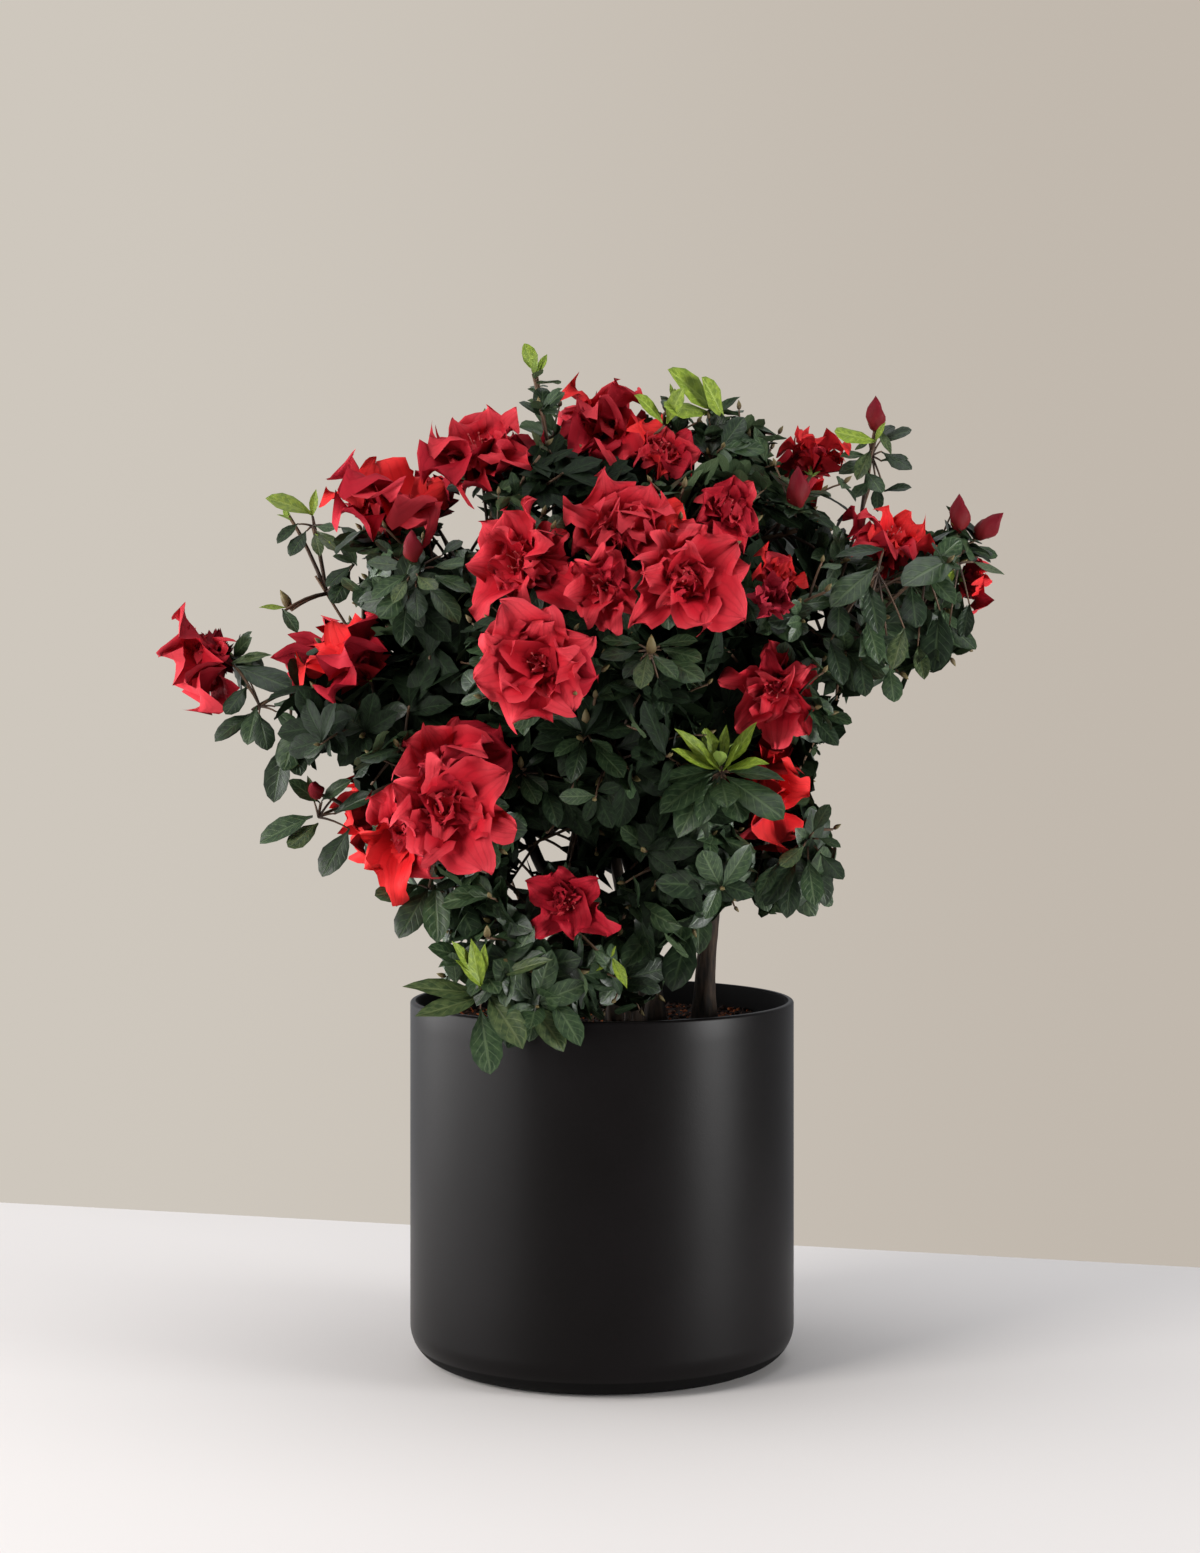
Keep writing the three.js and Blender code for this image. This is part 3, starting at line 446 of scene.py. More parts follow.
# growth: twigs, finer shoots and leaves
# masses that the photograph shows as open sprays: share of the twigs, and size of the leaves
openSprays = {
    "far_left_spray": (0.0, 1.0), "left_low_spray": (0.0, 1.1), "left_middle": (0.6, 1.1),
    "left_upper_twigs": (0.0, 0.72), "upper_left": (0.75, 1.1), "top_left": (0.8, 0.9),
    "top_sprig": (0.6, 0.72), "top_centre": (0.7, 0.85), "top_right": (0.9, 0.95),
    "upper_right_sprig": (0.6, 0.85), "right_top_sprig": (0.0, 0.62), "right_blossom": (0.8, 0.9),
    "far_right_tip": (0.8, 1.0), "rim_leaves": (0.6, 1.15), "low_front": (0.75, 1.1),
    "low_left_blossoms": (0.7, 1.0), "right_star": (0.7, 1.0), "right_inner": (0.7, 0.95),
    "centre_leaves": (0.9, 1.18), "inner_leaves": (1.0, 1.18), "shoot": (0.9, 1.18),
    "right_leaves": (0.6, 1.2), "right_low": (1.0, 1.2), "low_centre": (0.9, 1.1),
}
# masses whose leaves hang
hanging = ["right_leaves", "far_right_tip", "left_low_spray"]
growth = {
    "spread": {"blossom": 1.75, "bud": 1.3, "young": 1.35, "plain": 1.15},  # lean of the leaves
    # single leaves: where they begin and end on the twig, how many, their length
    "single": {"bearing": (0.35, 0.85, 4, 27), "twig": (0.4, 0.85, 3, 26), "shoot": (0.3, 0.8, 2, 24)},
    # leaves round a twig's end: their length and how many
    "end": {"blossom": (29, 7), "bud": (33, 8), "smallBud": (30, 6), "young": (31, 7), "plain": (30, 7),
            "shoot": (27, 6), "hollow": (33, 7)},
    "tipBud": {"twig": (6, 2), "shoot": (5, 2)},  # least length, and what may be added
    "finer": 2.4,  # shoots that leave each seeded twig
    "hollowStep": 25,  # mean distance between the twigs in the hollow middle
    "twigTries": 12, "twigApart": 17, "shootTries": 6, "shootApart": 15,
    "upright": 0.45, "drooping": -0.35,
    "darkShare": {"rosette": 0.42, "single": 0.6},
}
twigRadii = {"bearing": 1.35, "twig": 1.15, "shoot": 0.8, "fine": 0.55, "stalk": 0.5}
leafWidth = 0.48
twigs = []  # path, radius at both ends
leaves = {name: [] for name in  # base, along, face, length, form
          ("leavesDark", "leavesGreen", "leavesInner", "leavesOlive", "leavesFresh")}
narrowForms, hollowForms = 4, 8  # where these begin among the leaf shapes
tipBuds = []  # place, axis, size, 0 for a leaf bud and 1 for an anther
leafTests = np.array([(y, x * w) for y, w in ((0.35, 0.9), (0.6, 1.0), (0.85, 0.6), (1.0, 0.0))
                      for x in (-1, 0, 1)])
leafTries = [(share, swing) for share in (1, 0.8, 0.62) for swing in (0, -0.35, 0.3)]


def addTwig(path, thick, thin):
    twigs.append((path, twigRadii[thick], twigRadii[thin]))


def addTipBud(place, axis, size):
    tipBuds.append((place, axis, size, 0))


def leafHeap(random, base, darkShare):
    shade, chance = random(), random()
    # most leaves in the shady places take the darkest leaf finish, painted shade; elsewhere dark and green
    # tones are drawn at random
    if base[1] < 10 and shade < 0.85:
        if any(math.hypot(base[0] - x, base[2] - z) < radius for x, z, radius in shadyPlaces):
            return "leavesInner"
    return "leavesDark" if chance < darkShare else "leavesGreen"


def leafPoints(base, along, across, reach):
    # the middle and the edges of a leaf, to test where it would be
    return base + leafTests[:, :1] * along * reach + leafTests[:, 1:] * across * leafWidth / 2 * reach


def growRosette(index, path, axis, kind, length, count, heap=None, narrow=0, inside=False):
    # leaves all round a twig's end; narrow is the lean of a young shoot's narrow leaves
    random = masses[index]["random"]
    length = length * (1 if narrow else openSprays.get(masses[index]["name"], (1, 1))[1])
    limit = 0.88 + 0.22 * random()
    side, depth = squareTo(axis)
    turn = random() * 2 * math.pi
    lean = narrow or growth["spread"][kind]
    firstForm = narrowForms if narrow else hollowForms if inside else 0
    for k in range(count):
        out = spoke(side, depth, turn + k * 2 * math.pi / count + (random() - 0.5) * 0.5)
        base = pointAt(path, 0.97 - 0.035 * k)
        size = length * (0.78 + 0.36 * random())
        tip = lean + (random() - 0.5) * 0.5
        roll = (random() - 0.5) * 0.5
        form = firstForm + int(random() * 4)
        for share, swing in leafTries:
            along = spoke(axis, out, tip + swing)
            face = squareFace(along, axis)
            face = spoke(face, np.cross(along, face), roll)
            points = leafPoints(base, along, np.cross(along, face), size * share)
            if narrow or isFree(index, points, 2.6 if inside else limit, inside):
                name = heap or leafHeap(random, base, growth["darkShare"]["rosette"])
                leaves[name].append((base, along, face, size * share, form))
                break


def growAlong(index, path, first, last, count, length):
    # single leaves up a twig, each a golden angle round from the last
    random = masses[index]["random"]
    for k in range(count):
        t = first + (last - first) * (k + random()) / count
        axis = directionAt(path, t)
        out = spoke(*squareTo(axis), k * goldenAngle + random())
        along = unit(axis * 0.45 + out + up * 0.2)
        face = squareFace(along, axis + up * 0.8)
        reach = length * (0.7 + 0.4 * random())
        base = pointAt(path, t)
        form = int(random() * 4)
        name = leafHeap(random, base, growth["darkShare"]["single"])
        if isFree(index, leafPoints(base, along, np.cross(along, face), reach)):
            leaves[name].append((base, along, face, reach, form))


def growMass(index):
    mass = masses[index]
    random = mass["random"]
    side, across = squareTo(mass["out"])
    grown = [end["path"][-1] for end in mass["ends"]]
    density = openSprays.get(mass["name"], (1, 1))[0]
    twigCount = round((mass["twigs"] + 1) * density)
    for end in mass["ends"]:
        kind, path, axis = end["kind"], end["path"], end["axis"]
        addTwig(path, "bearing", "twig")
        if kind == "blossom" or mass["name"] not in handMade:
            growRosette(index, path, axis, kind, *growth["end"][kind])
            growAlong(index, path, *growth["single"]["bearing"])
        if kind == "young":
            for count, length, lean, heap in youngWhorls.get(mass["name"], youngWhorls["other"]):
                growRosette(index, path, axis, kind, length, count, heap, lean)
    for k in range(twigCount):
        start = pointAt(mass["stem"], 0.45 + 0.55 * (k + 1) / twigCount)
        for tries in range(growth["twigTries"]):
            polar = math.acos(1 - 1.6 * (k + random()) / twigCount)
            angle = (k + tries) * goldenAngle
            way = (mass["out"] * math.cos(polar) + side * math.sin(polar) * math.cos(angle)
                   + across * math.sin(polar) * math.sin(angle))
            end = mass["centre"] + way * mass["reach"] * (0.32 + 0.45 * random())
            path = twigPath(start, end)
            near = any(lengthOf(other - end) < growth["twigApart"] for other in grown)
            steps = np.array([pointAt(path, t) for t in np.linspace(0.3, 1, 6)])
            if near or not isFree(index, steps):
                continue
            grown.append(end)
            addTwig(path, "twig", "shoot")
            lift = growth["drooping" if mass["name"] in hanging else "upright"]
            axis = unit(unit(end - start) + up * lift)
            growRosette(index, path, axis, "plain", *growth["end"]["plain"])
            growAlong(index, path, *growth["single"]["twig"])
            addTipBud(end, axis, drawn(random, *growth["tipBud"]["twig"]))
            growShoots(index, path, grown, round(growth["finer"] * density))
            break


def growShoots(index, path, grown, count):
    mass = masses[index]
    random = mass["random"]
    for k in range(count):
        t = 0.35 + 0.55 * (k + random()) / count
        start = pointAt(path, t)
        axis = directionAt(path, t)
        side, across = squareTo(axis)
        for tries in range(growth["shootTries"]):
            angle = (k + tries) * goldenAngle + random()
            outward = unit((start - mass["centre"]) / mass["reach"] + mass["out"] * 0.3)
            way = unit(axis * 0.5 + spoke(side, across, angle) * 0.9 + outward * 0.7 + up * 0.2)
            end = start + way * mass["reach"].mean() * (0.4 + 0.35 * random())
            near = any(lengthOf(other - end) < growth["shootApart"] for other in grown)
            if near or not isFree(index, np.array([(start + end) / 2, end]), 0.95):
                continue
            shoot, bearing = twigPath(start, end), unit(way + up * 0.35)
            grown.append(end)
            addTwig(shoot, "shoot", "fine")
            growRosette(index, shoot, bearing, "plain", *growth["end"]["shoot"])
            growAlong(index, shoot, *growth["single"]["shoot"])
            addTipBud(end, bearing, drawn(random, *growth["tipBud"]["shoot"]))
            break


def growHollow():
    # twigs fill the hollow between the masses, each from the nearest mass's stem; their leaves take the
    # darkest leaf finish as painted shade
    random = draws(200)
    low, high = crownCore["centre"] - crownCore["reach"], crownCore["centre"] + crownCore["reach"]
    step = growth["hollowStep"]
    for cell in np.ndindex(*[int(span / step) for span in high - low]):
        jitter = np.array([random(), random(), random()])
        end = low + (np.array(cell) + 0.15 + 0.7 * jitter) * step
        shares = np.linalg.norm((end - centres) / reaches, axis=1)
        index = int(shares.argmin())
        if shares[index] < 0.8 or not isFree(index, end[None], 2.4, True):
            continue
        start = pointAt(masses[index]["stem"], 0.3 + 0.6 * random())
        path = twigPath(start, end)
        addTwig(path, "twig", "shoot")
        axis = unit(unit(end - start) + up * 0.3 + unit(end - crownHeart) * 0.8)
        growRosette(index, path, axis, "plain", *growth["end"]["hollow"], "leavesInner", inside=True)


def placeLeaf(name, base, tip, form):
    # a single leaf from its base to its tip, with its upper face up and to the front
    along = unit(tip - base)
    face = squareFace(along, np.array([0.0, -0.72, 0.7]))
    leaves[name].append((base, along, face, lengthOf(tip - base), form))


# sprays that the photograph shows leaf by leaf: mass, end of the twig, and by kind the base,
# tip and form of each leaf
handSprays = [
    ("rim_leaves", (-67, -121, 231), {
        "leavesOlive": [(-69, -118, 230, -111, -137, 236, 4), (-68, -120, 229, -104, -146, 217, 6),
            (-64, -120, 229, -44, -146, 207, 1), (-57, -122, 241, -27, -136, 251, 4)],
        "leavesGreen": [(-68, -122, 222, -62, -131, 187, 0), (-74, -110, 248, -97, -120, 257, 0),
            (-82, -112, 234, -84, -118, 254, 2)],
        "leavesFresh": [(-68, -126, 241, -86, -140, 261, 6), (-67, -126, 240, -65, -134, 260, 4),
            (-67, -128, 235, -78, -140, 252, 7), (-68, -128, 235, -72, -136, 262, 5)]}),
    ("rim_leaves", (-34, -114, 225), {
        "leavesOlive": [(-40, -118, 224, -21, -134, 204, 3)],
        "leavesGreen": [(-28, -116, 226, -12, -136, 208, 3), (-36, -116, 226, -40, -140, 214, 0)]}),
    ("low_front", (4, -111, 247), {
        "leavesFresh": [(6, -112, 249, 14, -124, 235, 5), (3, -112, 247, -8, -124, 242, 4),
            (5, -112, 250, 9, -118, 257, 6)]}),
    ("left_upper_twigs", (-172, -20, 503), {
        "leavesFresh": [(-172, -20, 503, -196, -28, 517, 3), (-172, -20, 503, -170, -22, 519, 5),
            (-171, -22, 492, -160, -32, 486, 4)]}),
    ("left_upper_twigs", (-187, -40, 446), {
        "leavesFresh": [(-186, -40, 448, -201, -46, 448, 4)],
        "leavesGreen": [(-188, -40, 447, -178, -48, 435, 1)]}),
    ("top_sprig", (-39, -14, 588), {
        "leavesFresh": [(-39, -14, 588, -46, -18, 606, 0), (-38, -14, 588, -33, -10, 601, 5)]}),
    ("top_right", (66, -9, 563), {
        "leavesFresh": [(70, -10, 564, 40, -30, 590, 0), (73, -10, 560, 60, -28, 585, 0),
            (63, -12, 566, 36, -38, 565, 2)],
        "leavesGreen": [(66, -10, 563, 82, -10, 576, 5)]}),
    ("top_centre", (37, -29, 556), {
        "leavesFresh": [(35, -30, 557, 24, -44, 574, 3), (39, -30, 557, 46, -40, 577, 1)]}),
    ("right_top_sprig", (162, -14, 547), {
        "leavesFresh": [(163, -16, 548, 137, -26, 552, 2), (163, -16, 548, 168, -20, 559, 5)]}),
    ("low_left_blossoms", (-98, -104, 288), {
        "leavesDark": [(-98, -104, 288, -114, -120, 262, 0), (-84, -104, 284, -70, -122, 262, 3),
            (-76, -104, 288, -58, -122, 276, 1)],
        "leavesGreen": [(-94, -106, 290, -92, -126, 262, 1), (-104, -100, 290, -128, -112, 284, 2)]}),
    ("shoot", (67, -111, 354), {
        "leavesFresh": [(65, -112, 356, 40, -123, 379, 4), (65, -113, 356, 36, -134, 365, 6),
            (66, -112, 358, 60, -116, 379, 7), (67, -112, 358, 70, -112, 381, 4),
            (70, -112, 358, 89, -121, 382, 6), (71, -113, 355, 91, -136, 362, 5),
            (66, -116, 355, 51, -132, 371, 4), (68, -116, 355, 79, -132, 370, 6),
            (66, -118, 357, 65, -139, 369, 5)],
        "leavesGreen": [(64, -112, 355, 29, -125, 350, 5), (72, -112, 354, 101, -124, 354, 7),
            (70, -112, 351, 101, -133, 330, 0), (67, -114, 350, 69, -145, 337, 0),
            (62, -112, 350, 42, -133, 324, 3), (62, -112, 352, 33, -131, 338, 3),
            (69, -112, 350, 78, -130, 326, 2), (64, -112, 350, 55, -131, 328, 1)]}),
    ("far_left_spray", (-184, -28, 374), {
        "leavesDark": [(-187, -30, 368, -195, -34, 334, 1), (-186, -34, 376, -176, -46, 350, 0)],
        "leavesGreen": [(-178, -34, 383, -186, -46, 352, 2)]}),
    ("far_left_spray", (-207, -28, 388), {
        "leavesDark": [(-208, -30, 385, -228, -40, 372, 1)],
        "leavesGreen": [(-204, -30, 390, -208, -42, 368, 0)]}),
    ("low_centre", (52, -64, 284), {
        "leavesGreen": [(51, -68, 291, 44, -86, 256, 0), (56, -62, 280, 56, -74, 250, 3),
            (32, -78, 264, 12, -98, 246, 1)],
        "leavesDark": [(44, -70, 280, 27, -92, 254, 2), (51, -66, 262, 40, -82, 228, 0)]}),
    ("left_low_spray", (-163, -76, 327), {
        "leavesGreen": [(-162, -78, 335, -179, -84, 349, 0), (-166, -78, 327, -196, -88, 316, 1),
            (-161, -76, 336, -147, -84, 350, 3)],
        "leavesOlive": [(-163, -78, 324, -179, -90, 310, 2), (-165, -80, 336, -168, -86, 351, 5)],
        "leavesDark": [(-145, -76, 320, -160, -88, 294, 0), (-153, -74, 329, -132, -84, 342, 1),
            (-144, -70, 349, -131, -82, 359, 2)]}),
    ("far_left_spray", (-202, -30, 390), {
        "leavesDark": [(-202, -34, 386, -196, -44, 364, 2), (-207, -32, 383, -227, -38, 372, 1),
            (-216, -26, 413, -182, -40, 401, 0), (-210, -28, 402, -221, -40, 385, 2)],
        "leavesOlive": [(-219, -24, 415, -196, -26, 422, 5)],
        "leavesGreen": [(-193, -30, 390, -167, -42, 393, 1), (-192, -34, 387, -178, -46, 378, 3),
            (-209, -26, 406, -193, -30, 411, 3)]}),
    ("left_upper_twigs", (-172, -22, 497), {
        "leavesDark": [(-180, -24, 498, -192, -32, 488, 1), (-175, -24, 494, -184, -34, 479, 0),
            (-155, -26, 496, -143, -34, 490, 3)],
        "leavesGreen": [(-170, -24, 497, -156, -30, 495, 2)],
        "leavesOlive": [(-169, -26, 493, -155, -36, 483, 1), (-170, -28, 492, -166, -38, 481, 3)]}),
    ("left_upper_twigs", (-147, -26, 474), {
        "leavesDark": [(-148, -30, 473, -162, -40, 461, 0), (-149, -30, 470, -158, -42, 450, 2)],
        "leavesGreen": [(-147, -28, 474, -158, -32, 480, 1), (-145, -28, 473, -153, -26, 488, 3)]}),
    ("upper_left", (-107, -98, 467), {
        "leavesGreen": [(-110, -102, 470, -133, -106, 473, 0), (-110, -104, 465, -130, -114, 454, 1),
            (-109, -104, 460, -125, -118, 440, 2), (-98, -104, 459, -80, -118, 442, 3),
            (-95, -102, 464, -74, -112, 458, 1), (-95, -100, 470, -76, -104, 473, 0)],
        "leavesDark": [(-105, -106, 458, -103, -122, 440, 0), (-91, -90, 477, -80, -84, 487, 1),
            (-111, -94, 449, -113, -112, 429, 3), (-119, -88, 476, -129, -86, 487, 1)],
        "leavesOlive": [(-104, -108, 465, -93, -122, 456, 2), (-110, -108, 462, -117, -120, 452, 3)]}),
    ("centre_leaves", (26, -140, 422), {
        "leavesOlive": [(25, -148, 420, 21, -162, 402, 0)],
        "leavesGreen": [(31, -146, 419, 56, -160, 405, 2), (32, -142, 425, 52, -146, 430, 1),
            (20, -142, 426, 1, -146, 431, 3), (28, -150, 419, 41, -164, 409, 1),
            (33, -140, 423, 55, -150, 418, 0)],
        "leavesDark": [(20, -144, 422, -1, -154, 419, 0), (31, -136, 407, 35, -152, 390, 3),
            (21, -146, 417, 12, -158, 409, 1)]}),
    ("centre_leaves", (-9, -116, 377), {
        "leavesDark": [(-12, -120, 377, -37, -126, 380, 0), (-5, -120, 377, 19, -126, 379, 2),
            (-11, -122, 371, -17, -138, 353, 3), (-7, -118, 379, 4, -116, 389, 1),
            (-12, -118, 379, -25, -116, 388, 3)],
        "leavesGreen": [(-11, -122, 373, -26, -134, 366, 1), (-4, -120, 369, 12, -138, 353, 0),
            (-6, -124, 372, 5, -138, 367, 1)]}),
    ("inner_leaves", (-46, -98, 353), {
        "leavesDark": [(-43, -102, 352, -31, -114, 345, 1), (-49, -102, 351, -55, -116, 339, 2),
            (-32, -100, 344, -25, -116, 327, 3), (-43, -98, 356, -32, -100, 365, 1)],
        "leavesGreen": [(-45, -102, 351, -36, -118, 337, 0), (-22, -98, 350, -4, -112, 339, 0)]}),
    ("right_leaves", (157, -92, 467), {
        "leavesGreen": [(156, -96, 470, 129, -106, 448, 0), (150, -98, 440, 157, -110, 418, 3),
            (164, -92, 413, 165, -104, 393, 2)],
        "leavesDark": [(151, -98, 460, 156, -110, 434, 1), (135, -96, 452, 133, -108, 430, 2),
            (130, -92, 428, 137, -104, 405, 1), (147, -92, 417, 149, -104, 397, 0),
            (161, -84, 480, 133, -88, 478, 5)],
        "leavesOlive": [(172, -94, 435, 164, -106, 415, 3)]}),
    ("right_leaves", (187, -70, 468), {
        "leavesGreen": [(207, -62, 478, 172, -84, 461, 0), (187, -66, 468, 203, -80, 452, 1)],
        "leavesDark": [(196, -60, 446, 191, -76, 411, 0), (178, -76, 460, 179, -90, 435, 2)],
        "leavesOlive": [(182, -70, 425, 185, -82, 408, 1)]}),
    ("far_right_tip", (210, -36, 474), {
        "leavesGreen": [(204, -40, 438, 218, -50, 423, 2)],
        "leavesDark": [(216, -38, 450, 211, -48, 431, 1)],
        "leavesFresh": [(206, -44, 470, 201, -50, 460, 5)],
        "leavesOlive": [(219, -36, 475, 236, -40, 466, 6)]}),
    ("right_low", (118, -78, 314), {
        "leavesGreen": [(121, -84, 319, 130, -84, 335, 0), (124, -84, 315, 136, -90, 312, 1),
            (118, -84, 303, 121, -94, 278, 0), (100, -84, 300, 89, -96, 286, 3)],
        "leavesDark": [(125, -84, 307, 137, -94, 292, 2), (112, -84, 303, 92, -96, 280, 1),
            (109, -84, 297, 105, -96, 273, 3)],
        "leavesOlive": [(115, -88, 311, 101, -98, 300, 2)]}),
    ("right_star", (122, -78, 388), {
        "leavesGreen": [(124, -80, 388, 143, -86, 382, 0)],
        "leavesDark": [(122, -80, 384, 135, -84, 368, 2)]}),
    ("right_top_sprig", (161, -12, 539), {
        "leavesOlive": [(160, -14, 542, 151, -24, 526, 1), (165, -14, 554, 172, -22, 540, 5),
            (159, -14, 548, 150, -20, 541, 6)],
        "leavesGreen": [(157, -14, 539, 143, -20, 541, 3), (159, -12, 524, 149, -22, 514, 0),
            (167, -12, 536, 182, -16, 539, 1), (157, -12, 531, 166, -24, 516, 2)],
        "leavesDark": [(166, -12, 548, 184, -18, 555, 0), (167, -12, 542, 184, -20, 530, 2),
            (169, -10, 518, 184, -14, 522, 1), (164, -10, 521, 164, -20, 508, 3),
            (160, -10, 537, 141, -14, 529, 0), (164, -8, 549, 175, -4, 560, 3)]}),
]
# buds and young shoots in these masses carry only leaves from the list above
handMade = ["right_top_sprig", "upper_left", "left_low_spray", "left_upper_twigs", "centre_leaves",
            "shoot", "inner_leaves"]
# whorls of young leaves: how many, their length, lean and kind
youngWhorls = {
    "shoot": [(6, 22, 0.5, "leavesFresh")],
    "other": [(3, 12, 0.5, "leavesFresh")],
}
# small buds that the solids leave out
smallBuds = [("centre_leaves", (-9, -118, 381), 12), ("rim_leaves", (-64, -125, 262), 10),
             ("inner_leaves", (-46, -100, 356), 9)]

massIndex = {mass["name"]: index for index, mass in enumerate(masses)}
stalkLength = 4  # a leaf that starts further than this from its twig's end gets a stalk
for index in range(len(masses)):
    growMass(index)
growHollow()
for name, end, kinds in handSprays:
    path = twigPath(pointAt(masses[massIndex[name]]["stem"], twigsFrom), vec(end))
    addTwig(path, "twig", "shoot")
    for heap, rows in kinds.items():
        for *places, form in rows:
            base, tip = vec(places[:3]), vec(places[3:])
            if lengthOf(base - path[-1]) > stalkLength:
                addTwig(twigPath(path[-1], base), "shoot", "stalk")
            placeLeaf(heap, base, tip, form)
for name, place, size in smallBuds:
    index, axis, place = massIndex[name], facing(0, 55), vec(place)
    path = twigPath(pointAt(masses[index]["stem"], twigsFrom), place)
    addTwig(path, "twig", "shoot")
    if name not in handMade:
        growRosette(index, path, axis, "bud", *growth["end"]["smallBud"])
    masses[index]["ends"].append({"kind": "bud", "axis": axis, "place": place, "size": size})
print("grown:", len(twigs), "twigs,", {name: len(rows) for name, rows in leaves.items()})


# shapes that are repeated: each starts as a bmesh shape and is read into arrays
def readShape(bm):
    # points, rim flags, faces and UVs of a small shape
    rim = bm.verts.layers.int.get("rim")
    uvLayer = bm.loops.layers.uv.get("OFBake")
    bm.verts.index_update()
    shape = {
        "points": np.array([v.co for v in bm.verts]),
        "rim": np.array([v[rim] if rim else 0 for v in bm.verts], bool),
        "corners": np.array([loop.vert.index for face in bm.faces for loop in face.loops]),
        "sizes": np.array([len(face.loops) for face in bm.faces]),
        "uv": np.array([loop[uvLayer].uv for face in bm.faces for loop in face.loops]),
    }
    bm.free()
    return shape


bladeThickness = 0.012  # share of the length


def bladeShape(columns, rows, halfWidth, height):
    # a thin closed blade: each row has its place along it and its width, to the left and the right
    # where they differ; height(x, y) is its relief;
    # the upper face has the left half of the UV tile and the lower face the right half
    bm = bmesh.new()
    bmesh.ops.create_grid(bm, x_segments=columns, y_segments=len(rows) - 1, size=1)
    uvLayer = bm.loops.layers.uv.new("OFBake")
    rim = bm.verts.layers.int.new("rim")
    for v in bm.verts:
        v[rim] = int(v.is_boundary)
    for v in bm.verts:
        across = v.co.x
        along, width, *right = rows[round((v.co.y + 1) / 2 * (len(rows) - 1))]
        width = right[0] if right and across > 0 else width
        v.co.z = height(across, along) if width > 0 else height(0, along)
        v.co.x, v.co.y = across * width * halfWidth, along
        for loop in v.link_loops:
            loop[uvLayer].uv = (0.25 + across * 0.24, 0.01 + along * 0.98)
    copied = bmesh.ops.duplicate(bm, geom=bm.verts[:] + bm.edges[:] + bm.faces[:])["geom"]
    lower = [part for part in copied if isinstance(part, bmesh.types.BMFace)]
    for v in {v for face in lower for v in face.verts}:
        v.co.z -= 0 if v[rim] else bladeThickness
    bmesh.ops.reverse_faces(bm, faces=lower)
    for face in lower:
        for loop in face.loops:
            loop[uvLayer].uv.x += 0.5
    bmesh.ops.remove_doubles(bm, verts=bm.verts, dist=1e-5)
    return readShape(bm)


leafRows = [(0, 0.05), (0.1, 0.17), (0.3, 0.7), (0.52, 1.0), (0.75, 0.92), (0.92, 0.5), (1, 0)]
plainRows = [(0, 0.08), (0.25, 0.6), (0.52, 1.0), (0.8, 0.84), (1, 0)]
narrowRows = [(0, 0.12), (0.1, 0.34), (0.27, 0.78), (0.46, 1), (0.66, 0.84), (0.85, 0.42), (1, 0)]


def leafShape(rows, width, fold, curl, ripple, phase, columns=4):
    def height(x, y):
        a = abs(x)
        crease = width * (0.34 * a - 0.36 * a * a) + fold * width * a
        waves = ripple * width * a * math.sin(phase + 9 * y + (x > 0) * 2)
        return crease - curl * y * y + 0.06 * y + waves
    return bladeShape(columns, rows, width, height)


# rows, half width, fold, curl, ripple and its phase: four broad, four narrow, four plain ones
leafShapes = [leafShape(*row) for row in (
    (leafRows, 0.25, 0.10, 0.10, 0.10, 0.5), (leafRows, 0.23, 0.30, 0.22, 0.08, 2.1),
    (leafRows, 0.26, -0.05, 0.02, 0.14, 3.7), (leafRows, 0.24, 0.18, 0.30, 0.06, 5.2),
    (narrowRows, 0.15, 0.25, 0.05, 0.06, 0.9), (narrowRows, 0.17, 0.35, 0.16, 0.08, 2.6),
    (narrowRows, 0.16, 0.15, -0.06, 0.05, 4.4), (narrowRows, 0.18, 0.30, 0.25, 0.06, 5.8),
    (plainRows, 0.25, 0.15, 0.12, 0, 0, 2), (plainRows, 0.24, 0.25, 0.25, 0, 0, 2),
    (plainRows, 0.26, 0.00, 0.05, 0, 0, 2), (plainRows, 0.24, 0.20, 0.35, 0, 0, 2))]

petalRows = [(0, 0.15), (0.12, 0.22), (0.25, 0.4), (0.37, 0.66), (0.48, 0.86), (0.58, 0.97), (0.67, 1),
             (0.76, 0.95), (0.84, 0.81), (0.905, 0.62), (0.955, 0.41), (0.985, 0.21), (1, 0.04)]
ovateRows = [(0, 0.14), (0.12, 0.24), (0.25, 0.46), (0.37, 0.72), (0.48, 0.92), (0.57, 1), (0.66, 0.97),
             (0.75, 0.86), (0.83, 0.69), (0.9, 0.48), (0.95, 0.29), (0.985, 0.13), (1, 0.03)]
raggedRows = [(0, 0.2), (0.16, 0.3), (0.34, 0.6), (0.5, 0.9), (0.66, 1), (0.8, 0.84), (0.91, 0.5), (1, 0.06)]


